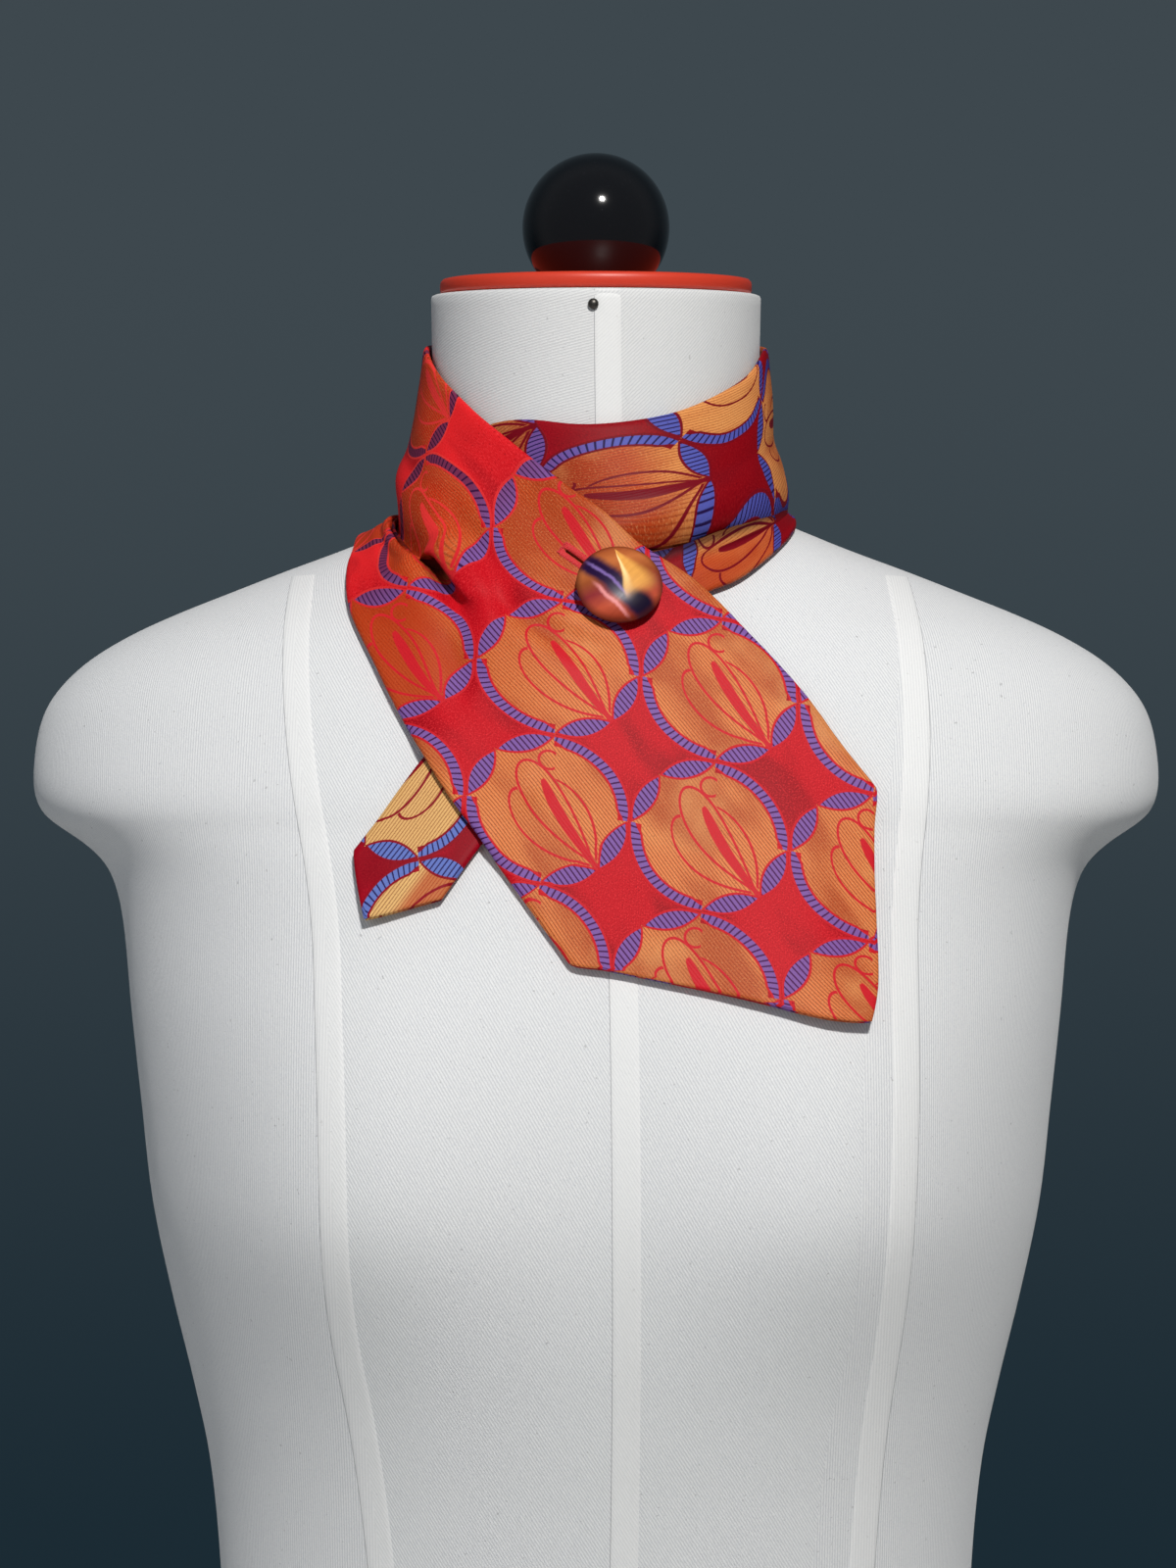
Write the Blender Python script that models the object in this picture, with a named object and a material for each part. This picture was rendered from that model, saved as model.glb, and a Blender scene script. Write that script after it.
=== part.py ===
import math

import bpy
import numpy as np
from mathutils import Vector
from mathutils.bvhtree import BVHTree

for old in list(bpy.data.objects):
    bpy.data.objects.remove(old, do_unlink=True)

# All sizes are in millimetres and are turned into metres when a mesh is made.
# Front faces -Y, +X is the viewer's right and +Z is up. Angles run round the neck from the front.
MM = 0.001
CLOTH_THICKNESS = 2.4
CLOTH_GAP = 0.5
SEAM_GAP = 0.3
NECK_TILT = 0.12
NECK_TOP = 653.0
CAP_THICKNESS = 5.0
CAP_INSET = 3.0
BALL_RADIUS = 24.2
BALL_CENTRE_UP = 22.0
WIDTH = 90.0
BUTTON_RADIUS = 13.1
BUTTON_STAND = 1.4
SHANK_RADIUS = 2.5
BUTTONHOLE_LENGTH = 26.0
BUTTONHOLE_WIDTH = 1.6
BUTTONHOLE_EYE = 3.6
FORM_SEGMENTS = 48

# Horizontal sections of the dress form.
# height, half width, front, back, roundness
FORM = [
    (0, 166, 106, 116, 2.2),
    (25, 169, 108, 119, 2.2),
    (60, 168, 107, 118, 2.2),
    (105, 157, 102, 110, 2.2),
    (150, 140, 96, 97, 2.2),
    (190, 126, 91, 86, 2.2),
    (215, 122, 89, 81, 2.2),
    (245, 123, 92, 82, 2.2),
    (275, 126, 99, 86, 2.2),
    (300, 131, 106, 90, 2.2),
    (330, 138, 114, 94, 2.2),
    (360, 144, 119, 98, 2.2),
    (390, 147.5, 119.5, 101, 2.2),
    (420, 151, 116, 103, 2.2),
    (445, 153.5, 110, 103.5, 2.2),
    (458, 156, 107, 103, 2.2),
    (467, 160, 104.5, 102.5, 2.2),
    (474, 168, 102, 102, 2.15),
    (479, 176, 100, 101, 2.1),
    (484, 181.5, 98.5, 100.5, 2.1),
    (492, 184, 96, 99.5, 2.1),
    (504, 183.5, 91.5, 98, 2.05),
    (515, 181, 87, 96, 2.0),
    (524, 175.5, 83, 93.5, 1.95),
    (533, 166, 79, 91, 1.85),
    (541, 153, 75.5, 88, 1.75),
    (548, 138, 72, 85, 1.65),
    (555, 120.5, 69, 82, 1.6),
    (562, 102.5, 66, 78.5, 1.6),
    (568, 86, 63.5, 75.5, 1.65),
    (573, 73, 61.5, 72.5, 1.75),
    (578, 61.5, 59.5, 69.5, 1.85),
    (584, 56.4, 58, 66.5, 1.95),
    (592, 54.5, 57, 63.5, 2.0),
    (605, 54, 56.3, 60.5, 2.0),
    (625, 53.7, 55.8, 58, 2.0),
    (NECK_TOP, 54.2, 55.6, 56, 2.0),
]
BUST = {"side": 80, "height": 372, "reach": 16, "wide": 52, "above": 78, "below": 46}

# Sections of the tie. Each runs from its low edge by its middle to its high edge. An angle is in
# degrees round the neck, a drop is the way down the form from the neck's top edge, and a lift is
# how far the middle of the cloth stands off the form. The two rolls swell the section's halves.
# along, low angle, drop, lift, middle angle, drop, lift, high angle, drop, lift, low roll, high roll
WIDE_END = [
    (77, 15.7, 274.3, 2.2, 34.6, 252.8, 2.2, 56.9, 241.0, 2.2, 0, 0),
    (39, 6.4, 245.8, 2.2, 26.7, 221.1, 2.2, 47.7, 202.2, 2.2, 0, 0),
    (0, -3.8, 218.3, 2.2, 18.1, 189.7, 2.2, 41.4, 167.9, 2.4, 0, 0),
    (-26, -11.1, 200.1, 2.2, 11.6, 168.0, 2.6, 37.6, 143.4, 3.0, 0, 0),
    (-52, -18.9, 182.9, 2.4, 3.5, 148.9, 4.0, 32.1, 121.1, 4.0, 0, 0),
    (-77, -27.1, 165.8, 2.6, -6.2, 131.0, 6.0, 23.5, 99.9, 6.0, 0.5, 0),
    (-103, -35.8, 147.8, 2.6, -17.8, 114.2, 6.5, 8.7, 83.0, 7.0, 1, 0),
    (-126, -43.6, 133.3, 2.4, -30.0, 96.8, 7.0, -6.7, 65.3, 6.5, 1, 0),
    (-145, -53.4, 119.8, 2.2, -38.2, 89.5, 6.5, -22.5, 50.8, 6.0, 1, 0.5),
    (-165, -61.8, 108.1, 2.2, -44.5, 93.0, 3.0, -40.5, 38.4, 4.0, 1, 2),
    (-181, -71.2, 97.9, 2.0, -60.6, 85.0, 2.0, -58.4, 28.8, 2.4, 0.5, 2),
    (-206, -90.0, 92.0, 1.8, -89.0, 74.5, 1.7, -86.0, 17.5, 1.7, 0, 2),
]
NECK_WRAP = [
    (-238, -118.0, 90.0, 1.8, -118.0, 73.0, 2.0, -116.0, 15.5, 1.7, 0.5, 2),
    (-270, -148.0, 84.0, 1.8, -148.0, 62.0, 2.4, -148.0, 15.0, 1.7, 0, 2),
    (-302, -180.0, 80.0, 1.8, -180.0, 52.0, 2.4, -180.0, 16.0, 1.7, 0, 1.5),
    (-334, -212.0, 79.0, 1.8, -212.0, 60.0, 2.4, -212.0, 15.0, 1.7, 0.5, 1.5),
    (-366, -242.0, 79.5, 2.0, -242.0, 68.0, 2.0, -244.0, 15.5, 1.7, 0.5, 1.5),
    (-394, -276.0, 79.0, 2.6, -270.0, 71.5, 1.7, -276.0, 17.5, 1.7, 0.5, 1),
]
UNDER_BAND = [
    (-408, -300.0, 86.5, 2.0, -294.0, 74.0, 1.7, -287.0, 20.5, 1.7, 1, 2),
    (-420, -314.5, 93.5, 2.4, -310.3, 76.4, 1.7, -298.0, 25.8, 1.7, 1.5, 4),
    (-436, -325.4, 99.3, 2.4, -323.9, 78.0, 1.7, -317.4, 33.1, 1.7, 2, 5),
    (-454, -333.5, 102.0, 2.4, -335.2, 80.5, 1.7, -338.1, 39.8, 1.8, 2, 5),
    (-474, -339.4, 107.0, 1.8, -348.0, 82.3, 2.2, -362.5, 42.9, 2.0, 1, 3),
    (-494, -345.8, 112.3, 1.8, -359.7, 86.4, 2.6, -384.3, 41.3, 2.0, 0, 1),
    (-512, -351.4, 119.9, 1.8, -368.1, 94.9, 2.6, -399.9, 46.5, 1.8, 0, 0.5),
    (-530, -356.8, 129.5, 1.8, -371.8, 107.4, 2.4, -394.3, 71.0, 1.8, 0, 0),
    (-546, -361.7, 138.2, 1.8, -373.9, 120.0, 2.2, -385.3, 103.4, 1.8, 0, 0),
    (-564, -366.7, 147.6, 1.7, -374.7, 139.2, 1.7, -383.3, 131.3, 1.7, 0, 0),
]
NARROW_END = [
    (-599, -376.4, 176.6, 1.7, -383.4, 169.5, 1.7, -390.4, 163.1, 1.7, 0, 0),
    (-635, -384.3, 205.9, 1.7, -390.5, 199.6, 1.7, -396.9, 194.0, 1.7, 0, 0),
    (-658, -388.9, 224.8, 1.7, -395.0, 218.9, 1.7, -401.1, 213.6, 1.7, 0, 0),
]
TIE = WIDE_END + NECK_WRAP + UNDER_BAND + NARROW_END
WIDE_START, LEFT_SEAM, RIGHT_SEAM, HIDDEN_SEAM, NARROW_START = -26, -206, -394, -564, -620
# The largest folds, as troughs with a soft ridge on both sides.
# along, share of the width, to along, to share, half width, depth
FOLDS = [
    (-158, 0.5, -252, 0.5, 6.0, 3.5),
    (-266, 0.42, -346, 0.45, 7.0, 1.6),
    (-356, 0.5, -488, 0.5, 5.0, 5.0),
]
# Where the two pointed ends are cut: share of the width, along
WIDE_TIP = [(0.0, 0.0), (0.571, 74.5), (1.0, 14.8)]
NARROW_TIP = [(0.0, -631.7), (0.5, -651.5), (1.0, -635.9)]


def column(table, v, k):
    t = np.array([row[k] for row in table], float)
    v = np.clip(v, 0, len(t) - 1 - 1e-9)
    i = np.floor(v).astype(int)
    f = v - i
    p0, p1 = t[np.maximum(i - 1, 0)], t[i]
    p2, p3 = t[i + 1], t[np.minimum(i + 2, len(t) - 1)]
    bend = 2 * p0 - 5 * p1 + 4 * p2 - p3 + f * (3 * (p1 - p2) + p3 - p0)
    return p1 + 0.5 * f * (p2 - p0 + f * bend)


def form_point(angle, v):
    a = np.radians(angle)
    z, half, front, back, n = (column(FORM, v, k) for k in range(5))
    s, c = np.sin(a), np.cos(a)
    depth = np.where(c > 0, front, back)
    r = (np.abs(s / half) ** n + np.abs(c / depth) ** n) ** (-1 / n)
    x, y = r * s, -r * c
    up = z - BUST["height"]
    wide = (np.abs(x) - BUST["side"]) / BUST["wide"]
    tall = up / np.where(up > 0, BUST["above"], BUST["below"])
    y = y - BUST["reach"] * np.exp(-wide ** 2 - tall ** 2) * np.clip(c * 3, 0, 1)
    t = np.clip((z - 585) / (NECK_TOP - 585), 0, 1)
    z = z + NECK_TILT * y * t * t * (3 - 2 * t)
    return np.stack([x, y, z], -1)


WAY_DOWN = np.linspace(len(FORM) - 1, 6, 600)


def on_form(angle, drop):
    p = form_point(np.full_like(WAY_DOWN, angle), WAY_DOWN)
    d = np.concatenate([[0], np.cumsum(np.linalg.norm(np.diff(p, axis=0), axis=1))])
    return np.array([np.interp(drop, d, p[:, k]) for k in range(3)])


def off_form(angle, drop, lift):
    a = on_form(angle + 1, drop) - on_form(angle - 1, drop)
    b = on_form(angle, drop + 8) - on_form(angle, drop - 8)
    n = np.cross(b, a)
    return on_form(angle, drop) + lift * n / np.linalg.norm(n)


def make(name, points, faces, colour, roughness, metallic=0.0, coat=0.0, smooth=True):
    mesh = bpy.data.meshes.new(name)
    mesh.from_pydata([tuple(p * MM) for p in np.asarray(points, float)], [], faces)
    mesh.validate()
    corners = [mesh.vertices[i].co for i in range(len(mesh.vertices))]
    volume = 0.0
    for f in mesh.polygons:
        v = list(f.vertices)
        for k in range(1, len(v) - 1):
            volume += corners[v[0]].dot(corners[v[k]].cross(corners[v[k + 1]]))
    if volume < 0:
        mesh.flip_normals()
    if smooth:
        mesh.polygons.foreach_set("use_smooth", [True] * len(mesh.polygons))
    material = bpy.data.materials.new(name + "_material")
    material.use_nodes = True
    shader = material.node_tree.nodes["Principled BSDF"]
    shader.inputs["Base Color"].default_value = (*colour, 1)
    shader.inputs["Roughness"].default_value = roughness
    shader.inputs["Metallic"].default_value = metallic
    shader.inputs["Coat Weight"].default_value = coat
    mesh.materials.append(material)
    thing = bpy.data.objects.new(name, mesh)
    bpy.context.collection.objects.link(thing)
    return thing


def rings_to_solid(rings):
    """Closed rings of equal count, first and last closed by a middle point."""
    n = len(rings[0])
    points = [p for ring in rings for p in ring]
    faces = []
    for i in range(len(rings) - 1):
        for j in range(n):
            k = (j + 1) % n
            faces.append((i * n + j, i * n + k, (i + 1) * n + k, (i + 1) * n + j))
    for i, start in ((0, 0), (len(rings) - 1, (len(rings) - 1) * n)):
        points.append(np.mean(rings[i], axis=0))
        middle = len(points) - 1
        for j in range(n):
            k = (j + 1) % n
            faces.append((start + k, start + j, middle) if i == 0 else (start + j, start + k, middle))
    return points, faces


def tree(thing):
    return BVHTree.FromPolygons([v.co / MM for v in thing.data.vertices],
                                [tuple(p.vertices) for p in thing.data.polygons])


def turned(profile, segments, origin, axis):
    """A profile of radius and height turned round an axis."""
    axis = Vector(axis).normalized()
    turn = axis.to_track_quat("Z", "Y")
    rings = []
    for radius, height in profile:
        ring = []
        for j in range(segments):
            a = 2 * math.pi * j / segments
            ring.append(np.array(turn @ Vector((radius * math.cos(a), radius * math.sin(a), height))) + origin)
        rings.append(ring)
    return rings_to_solid(rings)


# Dress form: body with its neck.
turns = np.linspace(0, 2 * math.pi, FORM_SEGMENTS, endpoint=False)
around = np.degrees(np.arctan2(1.5 * np.sin(turns), np.cos(turns)))
levels = np.arange(len(FORM))
body = make("form_body", *rings_to_solid([form_point(around, np.full_like(around, v)) for v in levels]),
            (0.78, 0.77, 0.74), 0.85)
body_tree = tree(body)

# Neck cap, ball and pin share the tilted axis of the neck.
neck_axis = np.array([0, -NECK_TILT, 1]) / math.hypot(NECK_TILT, 1)
neck_middle = np.array([0, 0, NECK_TOP])
top_ring = form_point(around, np.full_like(around, len(FORM) - 1.0))


def cap_ring(inset, up):
    out = top_ring - neck_middle
    length = np.linalg.norm(out, axis=1, keepdims=True)
    return neck_middle + out * (length - inset) / length + neck_axis * up


top = SEAM_GAP + CAP_THICKNESS
make("neck_cap", *rings_to_solid([cap_ring(CAP_INSET + 0.8, SEAM_GAP), cap_ring(CAP_INSET, SEAM_GAP + 0.8),
                                  cap_ring(CAP_INSET, top - 1.2), cap_ring(CAP_INSET + 1.2, top)]),
     (0.75, 0.07, 0.03), 0.35)
cut = BALL_CENTRE_UP - top - SEAM_GAP
sweep = np.linspace(math.acos(-cut / BALL_RADIUS), 0.04, 15)
make("ball_finial", *turned([(BALL_RADIUS * math.sin(a), BALL_RADIUS * math.cos(a)) for a in sweep], 24,
                            neck_middle + neck_axis * BALL_CENTRE_UP, neck_axis),
     (0.01, 0.01, 0.012), 0.08, coat=1.0)
pin_foot = off_form(-1.0, 5.2, 0.3)
make("neck_pin", *turned([(1.4, 0), (1.7, 0.5), (1.2, 1.2), (0.4, 1.5)], 12, pin_foot,
                         off_form(-1.0, 5.2, 1.3) - pin_foot),
     (0.09, 0.085, 0.08), 0.4, metallic=0.8)


PROBES = [(0, 0), (4, 0), (-4, 0), (0, 4), (0, -4), (3, 3), (-3, 3), (3, -3), (-3, -3)]


def laid(point, trees, gap):
    """Moves a point out until it is a gap above everything beneath it."""
    spot, normal, _, _ = body_tree.find_nearest(Vector(point))
    best = (Vector(point) - spot).dot(normal)
    need = best if best > gap else gap
    side = normal.orthogonal().normalized()
    other = normal.cross(side)
    for a, b in PROBES:
        start = spot + normal * 60 + side * a + other * b
        for t in trees:
            hit, _, _, _ = t.ray_cast(start, -normal, 59.5)
            if hit is not None:
                need = max(need, (hit - spot).dot(normal) + gap)
    return np.array(Vector(point) + normal * (need - best)) if need > best else np.asarray(point, float)


def section(along, w):
    """One point of the tie's middle, w its share of the width from the low edge."""
    v = np.interp(-along, [-row[0] for row in TIE], np.arange(len(TIE)))
    r = [float(column(TIE, v, k)) for k in range(1, 12)]
    low, middle, high = (off_form(*r[k:k + 3]) for k in (0, 3, 6))
    t = 2 * w if w < 0.5 else 2 * w - 1
    near, far, roll = (low, middle, r[9]) if w < 0.5 else (middle, high, r[10])
    p = near + (far - near) * t
    _, normal, _, _ = body_tree.find_nearest(Vector(p))
    swell = roll * math.sin(math.pi * (t if w < 0.5 else t ** 0.4))
    return p + np.array(normal) * swell


def spread(alongs, trees, rounds=3):
    """Rows of middle points, kept off the trees and evened out between their edges."""
    flat = [[(a(w) if callable(a) else a, w) for w in SHARES] for a in alongs]
    points = np.array([[section(a, w) for a, w in row] for row in flat])
    gap = CLOTH_GAP + CLOTH_THICKNESS / 2
    for turn in range(rounds + 1):
        points = np.array([[laid(p, trees, gap) for p in row] for row in points])
        if turn < rounds:
            mean = (points[:-2, 1:-1] + points[2:, 1:-1] + points[1:-1, :-2] + points[1:-1, 2:]) / 4
            points[1:-1, 1:-1] = (points[1:-1, 1:-1] + mean) / 2
    for start, share, stop, to_share, half, depth in FOLDS:
        for i, row in enumerate(flat):
            for j, (a, w) in enumerate(row):
                t = min(max((a - start) / (stop - start), 0), 1)
                off = math.hypot(a - start - t * (stop - start), (w - share - t * (to_share - share)) * WIDTH) / half
                dip = math.exp(-off ** 2) - 0.45 * math.exp(-(off - 1.9) ** 2)
                _, normal, _, _ = body_tree.find_nearest(Vector(points[i, j]))
                points[i, j] -= np.array(normal) * dip * depth * math.sin(math.pi * t) ** 0.4
    return np.array([[laid(p, trees, gap) for p in row] for row in points])


def stretch(first, last, before=(), after=(), trees=()):
    """The wall between two stations. Its ends are rounded where rows of a pointed end are given, and
    else flat at a seam, where it is worked out past the seam so that both sides of it agree."""
    low = first if before else first - SEAM_ROWS
    high = last if after else last + SEAM_ROWS
    p = spread(list(before) + list(STATIONS[low:high + 1]) + list(after), trees)
    half = CLOTH_THICKNESS / 2
    for a, b in ([(0, 1)] if before else []) + ([(-1, -2)] if after else []):
        step = p[b] - p[a]
        p[a] += step / np.linalg.norm(step, axis=-1, keepdims=True) * half * 0.7
    for a, b in ((0, 1), (-1, -2)):
        step = p[:, b] - p[:, a]
        p[:, a] += step / np.linalg.norm(step, axis=-1, keepdims=True) * half * 0.7
    n = np.cross(np.gradient(p, axis=0), np.gradient(p, axis=1))
    n /= np.linalg.norm(n, axis=-1, keepdims=True)
    keep = slice(0 if before else SEAM_ROWS, len(p) if after else len(p) - SEAM_ROWS)
    p, n = p[keep].copy(), n[keep]
    for a, b in ([] if before else [(0, 1)]) + ([] if after else [(-1, -2)]):
        step = p[b] - p[a]
        p[a] += step / np.linalg.norm(step, axis=-1, keepdims=True) * SEAM_GAP * 0.6
    rows, cols = p.shape[:2]
    count = rows * cols
    verts = list((p + n * half).reshape(-1, 3)) + list((p - n * half).reshape(-1, 3))
    faces = []
    for i in range(rows - 1):
        for j in range(cols - 1):
            a, b, c, d = i * cols + j, i * cols + j + 1, (i + 1) * cols + j + 1, (i + 1) * cols + j
            faces += [(a, b, c, d), (count + d, count + c, count + b, count + a)]
    edge = ([(0, j) for j in range(cols)] + [(i, cols - 1) for i in range(1, rows)]
            + [(rows - 1, j) for j in range(cols - 2, -1, -1)] + [(i, 0) for i in range(rows - 2, 0, -1)])
    first = len(verts)
    for i, j in edge:
        out = np.zeros(3)
        if i == 0 and before or i == rows - 1 and after:
            out += p[i, j] - p[1 if i == 0 else rows - 2, j]
        if j in (0, cols - 1):
            out += p[i, j] - p[i, 1 if j == 0 else cols - 2]
        out -= n[i, j] * (out @ n[i, j])
        verts.append(p[i, j] + out / max(np.linalg.norm(out), 1e-9) * half * 0.7)
    for k in range(len(edge)):
        m = (k + 1) % len(edge)
        a, b = edge[k][0] * cols + edge[k][1], edge[m][0] * cols + edge[m][1]
        faces += [(b, a, first + k, first + m), (first + m, first + k, count + a, count + b)]
    return verts, faces


def tipped(tip, start, count):
    """Rows that slant from a straight one to the pointed end."""
    share, ends = [t[0] for t in tip], [t[1] for t in tip]
    return [lambda w, k=k: start + (np.interp(w, share, ends) - start) * k / count
            for k in range(1, count + 1)]


RED = (0.62, 0.02, 0.03)
SEAM_ROWS = 4
SHARES = np.linspace(0, 1, 15)
STATIONS = np.concatenate([np.linspace(WIDE_START, LEFT_SEAM, 25), np.linspace(LEFT_SEAM, RIGHT_SEAM, 25)[1:],
                           np.linspace(RIGHT_SEAM, HIDDEN_SEAM, 25)[1:],
                           np.linspace(HIDDEN_SEAM, NARROW_START, 8)[1:]])
neck_wrap = make("neck_wrap", *stretch(24, 48), RED, 0.45)
under_band = make("under_band", *stretch(48, 72), RED, 0.45)
narrow_end = make("narrow_end", *stretch(72, 79, after=tipped(NARROW_TIP, NARROW_START, 5)), RED, 0.45)
beneath = [tree(under_band), tree(narrow_end)]
wide_end = make("wide_end", *stretch(0, 24, before=tipped(WIDE_TIP, WIDE_START, 10)[::-1], trees=beneath),
                RED, 0.45)

# Button on its shank, which goes through the buttonhole and is sewn to the band beneath.
BUTTON_SPOT = (5.0, 101.0)
foot = off_form(*BUTTON_SPOT, 0)
facing = off_form(*BUTTON_SPOT, 1) - foot
facing = np.array([0.06, -0.90, 0.43]) / np.linalg.norm([0.06, -0.90, 0.43])
far_out = Vector(foot + facing * 60)


def height_on(t):
    hit, _, _, _ = t.ray_cast(far_out, Vector(-facing), 90)
    return -1e9 if hit is None else (np.array(hit) - foot) @ facing


cloth_top = height_on(tree(wide_end))
band_top = height_on(beneath[0])
seat = cloth_top + BUTTON_STAND
shank = seat - band_top - SEAM_GAP
profile = [(0.6, -shank), (SHANK_RADIUS - 0.4, -shank), (SHANK_RADIUS, 0.4 - shank), (SHANK_RADIUS, 0),
           (BUTTON_RADIUS - 1.2, 0.2), (BUTTON_RADIUS, 1.3), (BUTTON_RADIUS - 0.7, 2.6),
           (BUTTON_RADIUS * 0.72, 3.9), (BUTTON_RADIUS * 0.38, 4.6), (0.6, 4.9)]
make("button", *turned(profile, 28, foot + facing * seat, facing), (0.55, 0.2, 0.12), 0.2, coat=0.8)

# The buttonhole is a slit from the button towards the neck, with an eye for the shank.
slit = np.array([-0.78, 0.24, 0.61])
slit -= facing * (slit @ facing)
slit /= np.linalg.norm(slit)
beside = np.cross(facing, slit)
reach = math.sqrt(BUTTONHOLE_EYE ** 2 - (BUTTONHOLE_WIDTH / 2) ** 2)
start = math.atan2(BUTTONHOLE_WIDTH / 2, reach)
outline = [(BUTTONHOLE_EYE * math.cos(a), BUTTONHOLE_EYE * math.sin(a))
           for a in np.linspace(start, 2 * math.pi - start, 14)]
outline += [(BUTTONHOLE_LENGTH - BUTTONHOLE_EYE, -BUTTONHOLE_WIDTH / 2),
            (BUTTONHOLE_LENGTH - BUTTONHOLE_EYE, BUTTONHOLE_WIDTH / 2)]
rings = [[foot + facing * (cloth_top + h) + slit * a + beside * b for a, b in outline] for h in (-7, 5)]
verts = [p for ring in rings for p in ring]
count = len(outline)
faces = [(j, (j + 1) % count, count + (j + 1) % count, count + j) for j in range(count)]
faces += [tuple(range(count - 1, -1, -1)), tuple(range(count, 2 * count))]
cutter = make("cutter", verts, faces, RED, 0.5, smooth=False)
boolean = wide_end.modifiers.new("buttonhole", "BOOLEAN")
boolean.operation = "DIFFERENCE"
boolean.solver = "EXACT"
boolean.object = cutter
bpy.context.view_layer.update()
graph = bpy.context.evaluated_depsgraph_get()
cut_mesh = bpy.data.meshes.new_from_object(wide_end.evaluated_get(graph))
wide_end.modifiers.clear()
wide_end.data = cut_mesh
bpy.data.objects.remove(cutter, do_unlink=True)
print("cloth above form", round(cloth_top, 2), "band above form", round(band_top, 2), "shank", round(shank, 2))
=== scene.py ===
import math

import bmesh
import bpy
import numpy as np
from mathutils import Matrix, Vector
from mathutils.bvhtree import BVHTree


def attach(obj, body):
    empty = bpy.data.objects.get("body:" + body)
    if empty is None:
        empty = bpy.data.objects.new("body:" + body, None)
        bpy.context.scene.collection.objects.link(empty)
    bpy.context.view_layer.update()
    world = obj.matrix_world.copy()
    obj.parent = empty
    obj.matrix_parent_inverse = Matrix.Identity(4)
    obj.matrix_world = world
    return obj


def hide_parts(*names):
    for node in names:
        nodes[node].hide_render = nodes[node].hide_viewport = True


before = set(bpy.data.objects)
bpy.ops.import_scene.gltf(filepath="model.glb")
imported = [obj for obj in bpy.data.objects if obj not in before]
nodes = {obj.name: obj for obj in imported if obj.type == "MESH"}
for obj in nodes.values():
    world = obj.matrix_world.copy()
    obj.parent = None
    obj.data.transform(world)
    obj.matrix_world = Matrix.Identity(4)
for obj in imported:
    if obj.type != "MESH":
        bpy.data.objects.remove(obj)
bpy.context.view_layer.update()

# Sizes are in millimetres until a mesh is made. Front faces -Y and +Z is up.
MM = 0.001
CLOTH_THICKNESS = 2.4
CLOTH_GAP = 0.5
WIDTH = 90.0
NECK_TILT = 0.12
NECK_TOP = 653.0
CAP_THICKNESS = 5.0
CAP_INSET = 3.0
SEAM_GAP = 0.3
BALL_RADIUS = 24.2
BALL_CENTRE_UP = 22.0
BUTTON_RADIUS = 13.1
BUTTON_STAND = 1.4
SHANK_RADIUS = 2.5
BUTTON_SPOT = (5.0, 101.0)
BUTTON_FACING = (0.06, -0.90, 0.43)
BUTTONHOLE_LENGTH = 26.0
BUTTONHOLE_EYE = 3.6
SLIT_EYE = 3.0
SLIT_HALF = 0.45
THREAD_RADIUS = 0.28
# The weave's repeat, as two steps over the cloth, and the middle of one ring: across, along.
REPEAT_RIGHT = (33.5, 35.7)
REPEAT_UP = (30.9, -33.2)
RING_MIDDLE = (-0.5, -75.0)
# The tie is pieced at two slanting seams, where the weave doesn't meet: along, shifts of the repeat
PIECING = [(-300, -0.33, -0.345), (-548, 0.413, 0.195)]
FOLD_ROUND = 2.4
TAPE_WIDTH = 8.8
GAP = CLOTH_GAP + CLOTH_THICKNESS / 2
# The tie is measured from a little past its wide point to a little past its narrow one.
TIE_START, TIE_STOP = 84, -658
# The stretch of the tie, along it, that its second coordinates run over from 0 to 1.
PLACE_START, PLACE_LENGTH = -700, 800
# Where the shoulder turns in under the arm, how far from there it is eased, and how often.
LEDGE_UP, LEDGE_REACH, LEDGE_TURNS = 482, 34, 5

# Horizontal sections of the dress form.
# height, half width, front, back, roundness
FORM = [
    (0, 166, 106, 116, 2.2),
    (25, 169, 108, 119, 2.2),
    (60, 168, 107, 118, 2.2),
    (105, 157, 102, 110, 2.2),
    (150, 140, 96, 97, 2.2),
    (190, 126, 91, 86, 2.2),
    (215, 122, 89, 81, 2.2),
    (245, 123, 92, 82, 2.2),
    (275, 126, 99, 86, 2.2),
    (300, 131, 106, 90, 2.2),
    (330, 138, 114, 94, 2.2),
    (360, 144, 119, 98, 2.2),
    (390, 147.5, 119.5, 101, 2.2),
    (420, 151, 116, 103, 2.2),
    (445, 153.5, 110, 103.5, 2.2),
    (458, 156, 107, 103, 2.2),
    (467, 160, 104.5, 102.5, 2.2),
    (474, 168, 102, 102, 2.15),
    (479, 176, 100, 101, 2.1),
    (484, 181.5, 98.5, 100.5, 2.1),
    (492, 184, 96, 99.5, 2.1),
    (504, 183.5, 91.5, 98, 2.05),
    (515, 181, 87, 96, 2.0),
    (524, 175.5, 83, 93.5, 1.95),
    (533, 166, 79, 91, 1.85),
    (541, 153, 75.5, 88, 1.75),
    (548, 138, 72, 85, 1.65),
    (555, 120.5, 69, 82, 1.6),
    (562, 102.5, 66, 78.5, 1.6),
    (568, 86, 63.5, 75.5, 1.65),
    (573, 73, 61.5, 72.5, 1.75),
    (578, 61.5, 59.5, 69.5, 1.85),
    (584, 56.4, 58, 66.5, 1.95),
    (592, 54.5, 57, 63.5, 2.0),
    (605, 54, 56.3, 60.5, 2.0),
    (625, 53.7, 55.8, 58, 2.0),
    (NECK_TOP, 54.2, 55.6, 56, 2.0),
]
BUST = {"side": 80, "height": 372, "reach": 16, "wide": 52, "above": 78, "below": 46}

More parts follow.
